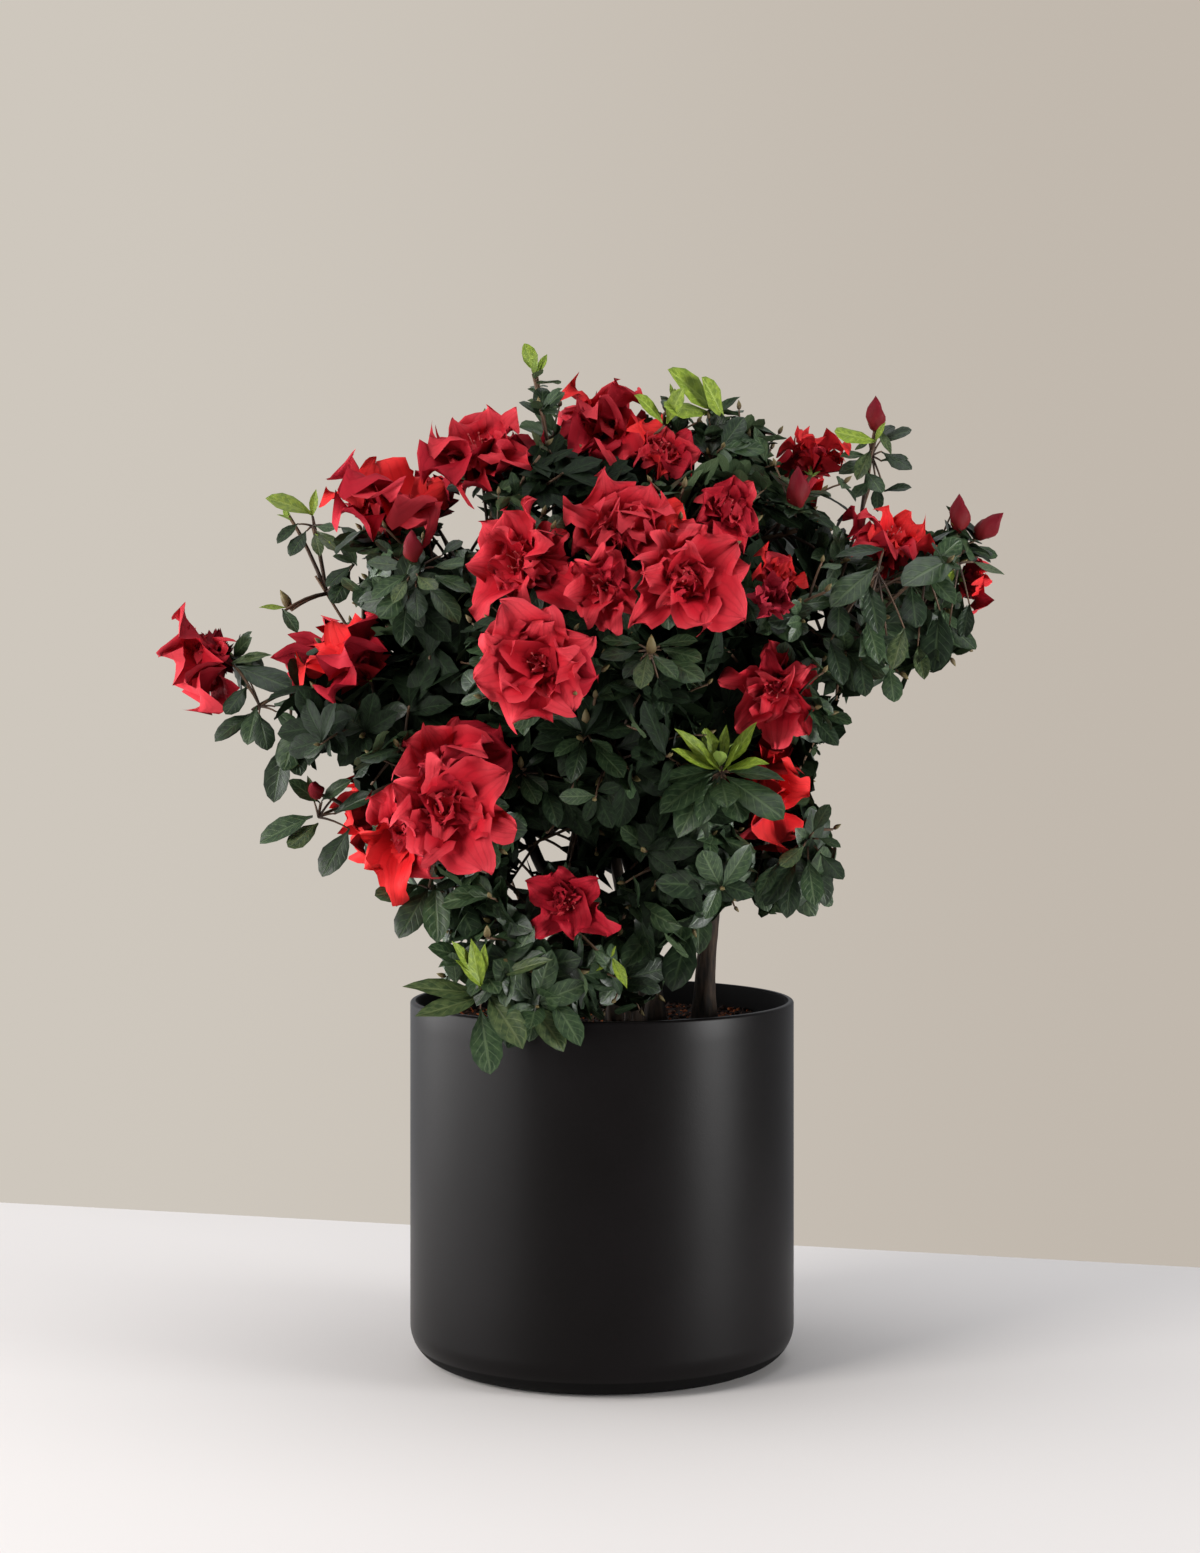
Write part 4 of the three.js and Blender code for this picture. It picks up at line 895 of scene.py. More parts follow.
def petalShape(ruffle, turns, phase, crease, cup, tipBend, columns=8, plain=petalRows, halfWidth=0.37):
    # the two edges wave apart from one another
    rows = [(y, wide * (1 + 0.09 * math.sin(phase * 3 + 21 * y)),
             wide * (1 + 0.09 * math.sin(phase + 25 * y))) for y, wide in plain]

    def height(x, y):
        a = abs(x)
        wave = math.sin(turns * 2 * math.pi * y + phase + (x > 0) * 2.3)
        fine = 0.35 * math.sin(turns * 4.4 * math.pi * y + 2 * phase + (x > 0) * 1.1)
        margin = ruffle * a ** 1.4 * (wave + fine) * min(1, y * 1.5)
        folds = 0.03 * math.sin(4.5 * math.pi * x + phase) * y
        crinkle = 0.016 * math.sin(15 * y + 4 * x + phase) * math.sin(8 * x - 2 * phase)
        rib = -0.05 * math.exp(-(x / 0.2) ** 2) * y
        hollow = cup * a * a * (1.6 * (1 - y) ** 2 - 0.35 * y * y)
        tip = tipBend * max(0, y - 0.7) ** 2 + 0.05 * math.sin(5 * x + phase) * max(0, y - 0.6)
        fold = crease * (math.sqrt(x * x + 0.03) - 0.17) * (0.4 + 0.6 * y)
        return margin + folds + crinkle + rib + fold + hollow + tip
    return bladeShape(columns, rows, halfWidth, height)


# six broad petals, three small ragged ones, then four outer ones with a drawn-out tip;
# ruffle, its turns and phase, crease, cup, bend of the tip
petalShapes = [petalShape(*row) for row in (
    (0.15, 2.1, 0.4, 0.10, 0.34, -1.8), (0.18, 2.4, 1.9, -0.06, 0.26, 1.4),
    (0.15, 1.8, 3.2, 0.16, 0.40, -3.0), (0.21, 2.6, 4.6, 0.04, 0.30, 0.4),
    (0.16, 2.3, 5.7, -0.12, 0.36, -2.4), (0.22, 1.9, 2.6, 0.08, 0.22, 2.0),
    (0.24, 1.9, 0.9, 0.16, 0.30, 1.8, 6, raggedRows, 0.4),
    (0.27, 2.3, 3.7, -0.12, 0.20, -2.2, 6, raggedRows, 0.4),
    (0.22, 1.7, 5.2, 0.20, 0.40, 0.8, 6, raggedRows, 0.4),
    (0.15, 1.7, 0.3, 0.06, 0.30, -0.7, 8, ovateRows, 0.39),
    (0.19, 2.1, 2.2, -0.08, 0.22, 0.5, 8, ovateRows, 0.39),
    (0.17, 1.5, 4.1, 0.12, 0.34, -1.2, 8, ovateRows, 0.39),
    (0.21, 1.9, 5.6, 0.00, 0.26, 0.9, 8, ovateRows, 0.39))]
broadPetals, raggedPetals, outerForms = 6, 3, 4


def spindleShape(sides, rings, widest, ridges, depth, twist):
    # a closed pointed body from 0 to 1 along +Z, with ridges that wind round it
    bm = bmesh.new()
    bmesh.ops.create_uvsphere(bm, u_segments=sides, v_segments=rings, radius=1)
    uvLayer = bm.loops.layers.uv.new("OFBake")
    for v in bm.verts:
        t = math.acos(max(-1, min(1, -v.co.z))) / math.pi
        angle = math.atan2(v.co.y, v.co.x)
        wide = math.sin(math.pi * t ** widest) * (1 + depth * math.cos(ridges * (angle + twist * t)))
        isPole = math.hypot(v.co.x, v.co.y) < 1e-6
        for loop in v.link_loops:
            loop[uvLayer].uv = (0.5 + 0.49 * v.co.x, 0.01 + 0.98 * t)
        v.co = (0, 0, t) if isPole else (wide * math.cos(angle), wide * math.sin(angle), t)
    return readShape(bm)


budShape = spindleShape(12, 9, 0.8, 3, 0.16, 3.0)
tipBudShape = spindleShape(6, 5, 0.75, 3, 0.1, 1.0)


def tubeShape(sides, steps):
    # a closed tube from 0 to 1 along +Z, radius 1, with its seam in the UVs
    bm = bmesh.new()
    bmesh.ops.create_cone(bm, cap_ends=True, segments=sides, radius1=1, radius2=1, depth=1)
    upright = [e for e in bm.edges if abs(e.verts[0].co.z - e.verts[1].co.z) > 0.5]
    bmesh.ops.subdivide_edges(bm, edges=upright, cuts=steps - 1, use_grid_fill=True)
    uvLayer = bm.loops.layers.uv.new("OFBake")
    for face in bm.faces:
        turns = [(math.atan2(loop.vert.co.y, loop.vert.co.x) / 2 / math.pi) % 1 for loop in face.loops]
        wraps = len(turns) == 4 and max(turns) - min(turns) > 0.5
        for loop, turn in zip(face.loops, turns):
            turn += 1 if wraps and turn < 0.5 else 0
            loop[uvLayer].uv = (0.02 + turn * 0.9, 0.01 + (loop.vert.co.z + 0.5) * 0.98)
    for v in bm.verts:
        v.co.z += 0.5
    return readShape(bm)


# joined meshes: a heap is a list of shapes, each with one set of points for each placed copy
def joinHeap(name, heap, finish=None, smooth=True):
    points, corners, sizes, uv, rims, start = [], [], [], [], [], 0
    for shape, placed in heap:
        placed = np.asarray(placed)
        copies, perCopy = placed.shape[:2]
        offsets = start + np.arange(copies) * perCopy
        points.append(placed.reshape(-1, 3))
        corners.append((shape["corners"] + offsets[:, None]).ravel())
        sizes.append(np.tile(shape["sizes"], copies))
        uv.append(np.tile(shape["uv"], (copies, 1)))
        rims.append(np.tile(shape["rim"], copies))
        start += copies * perCopy
    points, corners, sizes, uv, rims = np.vstack(points) * mm, *map(np.concatenate,
                                                                    (corners, sizes, uv, rims))
    mesh = bpy.data.meshes.new(name)
    mesh.vertices.add(len(points))
    mesh.vertices.foreach_set("co", points.ravel())
    mesh.loops.add(len(corners))
    mesh.loops.foreach_set("vertex_index", corners)
    mesh.polygons.add(len(sizes))
    mesh.polygons.foreach_set("loop_start", np.concatenate([[0], np.cumsum(sizes)[:-1]]))
    mesh.update(calc_edges=True)
    mesh.polygons.foreach_set("use_smooth", np.full(len(sizes), smooth))
    mesh.uv_layers.new(name="OFBake").uv.foreach_set("vector", uv.ravel())
    ends = np.empty(len(mesh.edges) * 2, int)
    mesh.edges.foreach_get("vertices", ends)
    ends = ends.reshape(-1, 2)
    mesh.edges.foreach_set("use_edge_sharp", rims[ends[:, 0]] & rims[ends[:, 1]])
    mesh.update()
    mesh.materials.append(finishes[finish or name])
    print(name, "triangles:", int((sizes - 2).sum()))
    return mesh


def addPiece(mesh, nodes):
    # puts a piece in the scene, on the plant's one body, in place of these nodes
    piece = bpy.data.objects.new(mesh.name, mesh)
    scene.collection.objects.link(piece)
    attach(piece, "root")
    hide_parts(*nodes)


def placeLeaves(rows, shape):
    base, along, face, length = columnsOf(rows, 4)
    across = np.cross(along, face)
    local = np.stack([across, along, face], axis=1) * length[:, None, None]
    return base[:, None] + np.einsum("vk,nkc->nvc", shape["points"], local)


def bendTubes(shape, rows, lumps=1):
    # each row has a path and the tube's radius at both ends; lumps are shares of the radius
    paths, thick, thin = columnsOf(rows, 3)
    t, thick, thin = shape["points"][:, 2], thick[:, None], thin[:, None]

    def bezier(controls):
        rows = [controls[:, k][:, None] for k in range(controls.shape[1])]
        while len(rows) > 1:
            rows = [a + (b - a) * t[None, :, None] for a, b in zip(rows, rows[1:])]
        return rows[0]

    centre, tangent = bezier(paths), bezier(np.diff(paths, axis=1))
    tangent = tangent / np.linalg.norm(tangent, axis=2, keepdims=True)
    reference = np.array([squareTo(unit(path[-1] - path[0]))[0] for path in paths])[:, None]
    side = reference - tangent * (reference * tangent).sum(axis=2, keepdims=True)
    side /= np.linalg.norm(side, axis=2, keepdims=True)
    across = np.cross(tangent, side)
    radius = (thick + (thin - thick) * np.clip(t, 0, 1)[None]) * lumps
    x, y = (shape["points"][:, k][None] * radius for k in (0, 1))
    return centre + side * x[..., None] + across * y[..., None]


def placeSpindles(shape, rows, wide):
    placed = []
    for place, axis, size, roll in rows:
        side, across = squareTo(axis)
        side, across = spoke(side, across, roll), spoke(across, -side, roll)
        local = np.array([side * wide, across * wide, axis]) * size
        placed.append(place + shape["points"] @ local)
    return placed


# finishes
def srgb(red, green, blue):
    def linear(value):
        value /= 255
        return value / 12.92 if value <= 0.04045 else ((value + 0.055) / 1.055) ** 2.4
    return (linear(red), linear(green), linear(blue), 1)


def plug(tree, socket, value):
    if isinstance(value, bpy.types.NodeSocket):
        tree.links.new(value, socket)
    else:
        socket.default_value = value


def addNode(tree, kind, inputs, output=0, **settings):
    node = tree.nodes.new(kind)
    for key, value in settings.items():
        setattr(node, key, value)
    for key, value in inputs.items():
        plug(tree, node.inputs[key], value)
    return node if output is None else node.outputs[output]


def reckon(tree, operation, *values):
    return addNode(tree, "ShaderNodeMath", dict(enumerate(values)), operation=operation)


def times(tree, *values):
    return reckon(tree, "MULTIPLY", *values)


def plus(tree, *values):
    return reckon(tree, "ADD", *values)


def partsOf(tree, vector):
    return addNode(tree, "ShaderNodeSeparateXYZ", {0: vector}, output=None).outputs


def mottling(tree, vector, scale, detail):
    return addNode(tree, "ShaderNodeTexNoise", {"Vector": vector, "Scale": scale, "Detail": detail})


def objectPlace(tree):
    return addNode(tree, "ShaderNodeTexCoord", {}, output="Object")


def fade(tree, value, low, high, start=0.0, end=1.0):
    # runs smoothly from start to end as the value goes from low to high
    return addNode(tree, "ShaderNodeMapRange", {0: value, 1: low, 2: high, 3: start, 4: end},
                   interpolation_type="SMOOTHSTEP")


def mixColours(tree, factor, first, second):
    return addNode(tree, "ShaderNodeMix", {0: factor, 6: first, 7: second}, output=2,
                   data_type="RGBA")


def newFinish(name, roughness, specular=0.5):
    material = bpy.data.materials.new(name)
    material.use_nodes = True
    shader = material.node_tree.nodes["Principled BSDF"]
    shader.inputs["Roughness"].default_value = roughness
    shader.inputs["Specular IOR Level"].default_value = specular
    return material, material.node_tree, shader


def addBump(tree, shader, height, strength, distance):
    bump = addNode(tree, "ShaderNodeBump", {"Height": height, "Strength": strength,
                                            "Distance": distance})
    plug(tree, shader.inputs["Normal"], bump)


def bakeMap(tree):
    return addNode(tree, "ShaderNodeUVMap", {}, uv_map="OFBake")


def bladeCoordinates(tree):
    # the map, the place across with its sign, from the middle (0) to the edge (1), and along,
    # and 1 on the lower face
    uv = bakeMap(tree)
    x, y, _ = partsOf(tree, uv)
    across = reckon(tree, "SUBTRACT", reckon(tree, "FRACT", times(tree, x, 2.0)), 0.5)
    away = times(tree, reckon(tree, "ABSOLUTE", across), 2.0)
    return uv, across, away, y, reckon(tree, "GREATER_THAN", x, 0.5)


def leafFinish(name, dark, light, vein, under, roughness, specular=0.34):
    material, tree, shader = newFinish(name, roughness, specular)
    uv, _, away, along, below = bladeCoordinates(tree)
    midrib = fade(tree, away, 0.03, 0.12, 1.0, 0.0)
    rise = reckon(tree, "SUBTRACT", times(tree, along, 7.0), times(tree, away, 1.9))
    wave = reckon(tree, "SINE", times(tree, rise, 2 * math.pi))
    sideVeins = times(tree, fade(tree, wave, 0.72, 1.0), fade(tree, away, 0.6, 0.95, 0.6, 0.0))
    veins = reckon(tree, "MAXIMUM", midrib, sideVeins)
    mottle = mottling(tree, uv, 9.0, 3.0)
    colour = mixColours(tree, fade(tree, mottle, 0.35, 0.68), dark, light)
    colour = mixColours(tree, times(tree, veins, 0.5), colour, vein)
    colour = mixColours(tree, times(tree, below, 0.8), colour, under)
    plug(tree, shader.inputs["Base Color"], colour)
    relief = reckon(tree, "SUBTRACT", times(tree, mottle, 0.5), veins)
    addBump(tree, shader, relief, 0.35, 0.0006)
    return material


def petalFinish(name, throatAndShade, main, tip, back):
    material, tree, shader = newFinish(name, 0.66, 0.12)
    uv, across, away, along, below = bladeCoordinates(tree)
    streaks = reckon(tree, "SINE", times(tree, across, 46.0))
    fineStreaks = times(tree, fade(tree, streaks, 0.3, 1.0), fade(tree, away, 0.5, 1.0, 1.0, 0.2))
    mottle = mottling(tree, uv, 7.0, 4.0)
    # darker towards the throat: partly the flower's own deeper red, partly painted shade in the throat
    colour = mixColours(tree, fade(tree, along, 0.12, 0.5), throatAndShade, main)
    # lighter towards the tip: painted highlight
    towardsTip = plus(tree, along, times(tree, mottle, 0.3))
    colour = mixColours(tree, fade(tree, towardsTip, 0.75, 1.2), colour, tip)
    # paler along the margins: painted highlight on the ruffled edges
    edge = times(tree, fade(tree, away, 0.7, 1.0, 0.0, 0.6), fade(tree, along, 0.3, 0.6))
    colour = mixColours(tree, edge, colour, tip)
    colour = mixColours(tree, times(tree, fineStreaks, 0.16), colour, throatAndShade)
    colour = mixColours(tree, times(tree, below, 0.45), colour, back)
    plug(tree, shader.inputs["Base Color"], colour)
    addBump(tree, shader, plus(tree, mottle, times(tree, fineStreaks, -0.35)), 0.3, 0.0008)
    return material


def plainFinish(name, low, high, roughness, specular=0.5):
    # a colour that runs from low to high along the piece, with a fine mottle
    material, tree, shader = newFinish(name, roughness, specular)
    uv = bakeMap(tree)
    mottle = mottling(tree, uv, 30.0, 3.0)
    place = plus(tree, partsOf(tree, uv)[1], times(tree, mottle, 0.5))
    plug(tree, shader.inputs["Base Color"], mixColours(tree, fade(tree, place, 0.3, 1.2), low, high))
    addBump(tree, shader, mottle, 0.4, 0.0005)
    return material


def barkFinish(name, dark, light):
    material, tree, shader = newFinish(name, 0.82, 0.3)
    place = objectPlace(tree)
    stretched = addNode(tree, "ShaderNodeMapping", {0: place, 3: (1, 1, 0.22)})
    fibres = mottling(tree, stretched, 420.0, 5.0)
    tone = plus(tree, times(tree, fibres, 0.6), times(tree, mottling(tree, place, 55.0, 3.0), 0.4))
    plug(tree, shader.inputs["Base Color"], mixColours(tree, fade(tree, tone, 0.36, 0.68), dark, light))
    addBump(tree, shader, fibres, 0.7, 0.0012)
    return material


def potFinish(name, outside, cloudy, inside):
    material, tree, shader = newFinish(name, 0.42, 0.12)
    place = objectPlace(tree)
    cloud = mottling(tree, place, 9.0, 3.0)
    grain = mottling(tree, place, 900.0, 2.0)
    # the wall's inner side is rougher and darker than the outside
    x, y, _ = partsOf(tree, place)
    around = reckon(tree, "SQRT", plus(tree, times(tree, x, x), times(tree, y, y)))
    within = fade(tree, around, 0.1112, 0.1122, 1.0, 0.0)
    outer = mixColours(tree, fade(tree, cloud, 0.35, 0.7), outside, cloudy)
    plug(tree, shader.inputs["Base Color"], mixColours(tree, within, outer, inside))
    plug(tree, shader.inputs["Roughness"],
         plus(tree, fade(tree, cloud, 0.3, 0.75, 0.36, 0.42), times(tree, within, 0.5)))
    addBump(tree, shader, grain, 0.12, 0.0003)
    return material


def soilFinish(name, dark, light, scale):
    material, tree, shader = newFinish(name, 0.9, 0.25)
    crumbs = mottling(tree, objectPlace(tree), scale, 5.0)
    plug(tree, shader.inputs["Base Color"], mixColours(tree, fade(tree, crumbs, 0.4, 0.65), dark, light))
    addBump(tree, shader, crumbs, 0.8, 0.002)
    return material


# the maker, the material's name, its colours in sRGB, then its other numbers
finishTable = {
    "leavesDark": (leafFinish, "darkLeaf", [(24, 37, 24), (38, 54, 34), (70, 88, 58), (60, 78, 54)], 0.4),
    "leavesGreen": (leafFinish, "greenLeaf", [(36, 54, 34), (56, 75, 47), (96, 114, 80), (82, 100, 70)],
                    0.4),
    # the darkest, least glossy leaves: painted shade inside the crown
    "leavesInner": (leafFinish, "innerLeaf", [(15, 24, 14), (25, 38, 22), (40, 56, 34), (36, 50, 32)],
                    0.6, 0.1),
    "leavesOlive": (leafFinish, "oliveLeaf", [(48, 64, 38), (76, 90, 54), (108, 118, 76), (98, 108, 72)],
                    0.42),
    "leavesFresh": (leafFinish, "freshLeaf", [(100, 122, 34), (134, 154, 48), (162, 180, 88),
                                              (136, 160, 80)], 0.5, 0.3),
    # the scarlet and deep petal reds are lighter and darker copies of the red, painted glow and painted
    # shade
    "petalsRed": (petalFinish, "redPetal", [(88, 3, 12), (180, 22, 38), (196, 56, 66), (172, 38, 54)]),
    "petalsScarlet": (petalFinish, "scarletPetal", [(108, 4, 10), (200, 23, 29), (214, 48, 48),
                                                    (188, 36, 46)]),
    "petalsDeep": (petalFinish, "deepPetal", [(70, 3, 12), (150, 15, 32), (176, 32, 48), (150, 28, 44)]),
    "petalsWine": (petalFinish, "winePetal", [(70, 5, 22), (142, 18, 38), (170, 42, 58), (144, 28, 46)]),
    "flowerBuds": (plainFinish, "budRed", [(104, 24, 26), (104, 13, 28)], 0.6, 0.12),
    "leafBuds": (plainFinish, "leafBud", [(84, 66, 40), (104, 92, 50)], 0.6),
    "stamens": (plainFinish, "stamenRed", [(150, 20, 30), (186, 70, 70)], 0.5),
    "twigs": (plainFinish, "twigBark", [(52, 36, 26), (92, 68, 48)], 0.7),
    "bark": (barkFinish, "stemBark", [(20, 14, 10), (54, 41, 30)]),
    "pot": (potFinish, "mattBlackClay", [(8, 6, 6), (12, 9, 10), (4, 3, 3)]),
    "soil": (soilFinish, "pottingSoil", [(18, 11, 9), (44, 28, 20)], 260.0),
    "darkGrains": (soilFinish, "soilGrains", [(30, 18, 13), (62, 38, 26)], 400.0),
    "copperGrains": (soilFinish, "copperGrains", [(120, 56, 26), (186, 104, 58)], 300.0),
}
finishes = {key: maker(name, *[srgb(*colour) for colour in colours], *numbers)
            for key, (maker, name, colours, *numbers) in finishTable.items()}

# blossoms: whorls of ruffled petals on each foot
crownDepth = {"limits": (-186, 178), "pressed": 0.6}
# petals in the whorl, angle to the axis at foot and tip, length in radii, width, start of the turn
whorls = [
    {"petals": 5, "angles": (0.28, 1.62), "length": 1.44, "width": 0.90, "turn": 0.0, "ragged": False},
    {"petals": 5, "angles": (0.20, 1.24), "length": 1.10, "width": 0.86, "turn": 0.63, "ragged": False},
    {"petals": 4, "angles": (0.12, 0.86), "length": 0.90, "width": 0.66, "turn": 0.3, "ragged": False},
    {"petals": 5, "angles": (0.10, 0.62), "length": 0.76, "width": 0.74, "turn": 0.9, "ragged": True},
    {"petals": 4, "angles": (0.04, 0.30), "length": 0.56, "width": 0.74, "turn": 0.2, "ragged": True},
]


def placePetals(rows, shape):
    foot, axis, radial, lean, opened, length, width, twist = [
        column[:, None] for column in columnsOf(rows, 8)]
    x, y, z = (shape["points"][:, k][None] for k in range(3))
    bend = opened - lean
    angle = lean + bend * y
    outward = length * (np.cos(lean) - np.cos(angle)) / bend
    rise = length * (np.sin(angle) - np.sin(lean)) / bend
    sideways = np.cross(radial, axis)
    normal = -np.cos(angle)[..., None] * radial + np.sin(angle)[..., None] * axis
    roll = (twist * y)[..., None]
    shiftX, shiftZ = (x * width * length)[..., None], (z * length)[..., None]
    spread = sideways * np.cos(roll) + normal * np.sin(roll)
    lift = normal * np.cos(roll) - sideways * np.sin(roll)
    points = foot + outward[..., None] * radial + rise[..., None] * axis + spread * shiftX + lift * shiftZ
    # past the front and the back of the solids the petals are pressed back
    depth = points[..., 1]
    points[..., 1] -= (depth - np.clip(depth, *crownDepth["limits"])) * crownDepth["pressed"]
    return points


petals = {"petalsRed": [], "petalsScarlet": [], "petalsDeep": [], "petalsWine": []}
stamens, calyxLeaves, flowerBuds = [], [], []
# petals, angle at foot and tip, length in sizes and width of an opening bud's whorls
halfOpenWhorls = [(5, 1.05, -0.75, 0.78, 0.95), (4, 0.7, -0.6, 0.66, 0.9), (3, 0.35, -0.3, 0.6, 0.7)]


def growHalfOpen(end, random):
    # a double bud that opens: broad petals bent over one another
    side, across = squareTo(end["axis"])
    for count, lean, opened, length, width in halfOpenWhorls:
        turn = random() * 2 * math.pi
        for k in range(count):
            radial = spoke(side, across, turn + k * 2 * math.pi / count)
            petals["petalsWine"].append((end["foot"], end["axis"], radial, lean + 0.2 * random(),
                                         opened + 0.4 * random(), end["size"] * length, width, 0.3,
                                         int(random() * broadPetals)))


# outer petals that the photograph shows, by mass and blossom: red, place of the tip, width; s is the lighter
# red of painted glow, d the darker red of painted shade
redNames = {"r": "petalsRed", "s": "petalsScarlet", "d": "petalsDeep"}
outerPetals = {
    ("front_blossom", 0): [("r", -51, -180, 447, 0.95), ("r", -64, -178, 432, 0.95),
        ("r", -68, -182, 406, 0.95), ("r", -48, -184, 383, 0.85), ("r", -19, -184, 394, 0.95),
        ("d", -2, -176, 407, 0.85), ("r", -9, -180, 427, 0.95), ("r", -29, -176, 446, 0.9)],
    ("upper_left", 0): [("s", -160, -62, 518, 0.8), ("d", -146, -84, 527, 1.05),
        ("s", -132, -36, 538, 1.05), ("s", -92, -42, 519, 1), ("r", -99, -88, 498, 0.9),
        ("r", -117, -96, 510, 1.15), ("s", -111, -24, 530, 1), ("d", -149, -84, 502, 0.9)],
    ("top_left", 0): [("r", -69, -26, 569, 1), ("r", -101, -52, 547, 0.85), ("d", -105, -62, 528, 0.9),
        ("r", -80, -72, 515, 0.5), ("r", -53, -28, 553, 0.85), ("d", -34, -18, 548, 0.6),
        ("r", -44, -60, 534, 0.95), ("r", -88, -34, 560, 0.9)],
    ("left_middle", 0): [("d", -135, -76, 445, 1), ("s", -156, -46, 440, 1), ("s", -169, -44, 426, 1.05),
        ("s", -177, -58, 413, 0.6), ("d", -157, -92, 398, 1.05), ("d", -146, -98, 425, 1.1)],
    ("low_left_blossoms", 0): [("r", -111, -112, 373, 0.85), ("r", -81, -104, 385, 0.8),
        ("d", -58, -104, 382, 0.85), ("d", -49, -114, 367, 0.85), ("r", -68, -138, 371, 1),
        ("r", -116, -128, 354, 0.85)],
    ("low_left_blossoms", 1): [("r", -88, -154, 362, 0.9), ("r", -53, -148, 356, 0.9),
        ("r", -47, -150, 323, 0.62), ("r", -66, -156, 303, 0.95), ("r", -99, -154, 307, 0.85),
        ("r", -115, -146, 349, 0.85), ("r", -112, -154, 330, 0.8)],
    ("low_left_blossoms", 2): [("s", -136, -110, 318, 0.62), ("s", -134, -112, 300, 0.65),
        ("s", -117, -116, 279, 0.66), ("r", -132, -106, 341, 0.8), ("r", -120, -114, 347, 0.75),
        ("r", -95, -126, 296, 0.6)],
    ("low_front", 0): [("d", -42, -116, 293, 0.85), ("d", -25, -114, 300, 0.9), ("d", -3, -118, 294, 0.85),
        ("d", 6, -122, 264, 0.6), ("d", -16, -124, 263, 0.9), ("d", -39, -122, 263, 0.65)],
    ("centre_left_blossom", 0): [("r", -55, -124, 502, 0.75), ("r", -42, -116, 510, 0.42),
        ("r", -76, -124, 471, 0.75), ("r", -74, -132, 445, 0.85), ("r", -48, -140, 449, 0.75),
        ("d", -29, -134, 459, 0.8), ("r", -30, -116, 495, 0.75), ("r", -70, -116, 495, 0.65),
        ("r", -6, -138, 452, 0.75), ("r", -20, -118, 490, 0.9), ("r", -17, -130, 465, 0.9)],
    ("right_star", 0): [("r", 95, -96, 429, 0.75), ("r", 123, -90, 413, 0.8), ("r", 66, -100, 407, 0.55),
        ("r", 75, -104, 379, 0.6), ("r", 99, -106, 367, 0.8), ("r", 117, -98, 374, 0.7),
        ("r", 120, -90, 395, 0.75)],
    ("top_centre", 0): [("r", 7, -2, 587, 0.38), ("s", -20, 2, 584, 0.5), ("r", 23, -8, 580, 0.85),
        ("r", -2, -22, 572, 0.9), ("d", -23, -12, 561, 0.7), ("d", -8, -34, 537, 0.8),
        ("r", 11, -42, 534, 0.8), ("s", 36, -18, 558, 0.6)],
    ("top_centre", 1): [("s", 21, -30, 558, 0.7), ("r", 39, -26, 556, 0.7), ("d", 53, -28, 552, 0.7),
        ("r", 58, -34, 541, 0.7), ("d", 52, -44, 529, 0.7), ("s", 36, -46, 527, 0.8),
        ("r", 22, -42, 536, 0.6)],
    ("centre_top", 0): [("d", 77, -82, 523, 0.85), ("r", 87, -80, 519, 0.7), ("d", 90, -88, 492, 0.9),
        ("r", 58, -84, 513, 0.85), ("d", 55, -92, 497, 0.9), ("r", 72, -104, 482, 0.9)],
    ("centre_blossoms", 0): [("r", 1, -104, 526, 0.7), ("r", 27, -104, 519, 0.75),
        ("r", -22, -108, 504, 0.8), ("r", -16, -122, 482, 1), ("s", 46, -106, 504, 0.95),
        ("r", 37, -126, 481, 1), ("r", 9, -130, 500, 0.9), ("r", 21, -128, 503, 0.8),
        ("r", 53, -116, 490, 0.9)],
    ("centre_blossoms", 1): [("r", 2, -150, 479, 0.9), ("r", -15, -148, 471, 0.85),
        ("r", -19, -152, 452, 0.8), ("r", -10, -154, 441, 0.8), ("r", 5, -154, 433, 0.8),
        ("r", 18, -152, 444, 0.7), ("r", 19, -150, 466, 0.8)],
    ("centre_blossoms", 2): [("r", 34, -150, 489, 0.85), ("r", 55, -148, 492, 0.8),
        ("r", 75, -150, 484, 0.8), ("r", 81, -152, 469, 0.75), ("r", 79, -158, 441, 0.9),
        ("r", 56, -162, 434, 0.85), ("r", 17, -164, 438, 0.6), ("r", 21, -158, 472, 0.9)],
    ("far_left_spray", 0): [("r", -252, -34, 445, 0.6), ("r", -258, -40, 420, 0.75),
        ("r", -224, -30, 429, 0.65), ("r", -237, -34, 387, 0.95), ("d", -223, -22, 388, 0.85),
        ("r", -243, -40, 403, 0.85)],
    ("right_inner", 0): [("s", 118, -72, 465, 0.8), ("s", 109, -62, 479, 0.8), ("s", 93, -66, 483, 0.9),
        ("s", 106, -84, 456, 0.7), ("s", 89, -88, 466, 0.7)],
    ("right_low", 0): [("s", 105, -60, 366, 1), ("s", 120, -66, 339, 1.05), ("s", 101, -76, 307, 1),
        ("r", 86, -82, 315, 0.7), ("r", 76, -80, 337, 0.7)],
    ("right_blossom", 0): [("s", 169, -32, 509, 0.9), ("s", 191, -30, 498, 0.7), ("s", 198, -42, 483, 0.7),
        ("d", 145, -36, 507, 0.8), ("r", 155, -40, 507, 0.8), ("r", 147, -58, 487, 0.8),
        ("r", 171, -70, 483, 0.9), ("s", 183, -28, 504, 0.8)],
}
# this blossom is flat and open, with round outer petals and few inner ones
roundBlossom = {"key": ("front_blossom", 0), "missing": (2, 3), "broadFrom": 0.9}
smallBlossom = {"under": 42, "whorls": 3, "openTo": 0.7}
halfOpenUnder, smallBudUnder = 30, 15
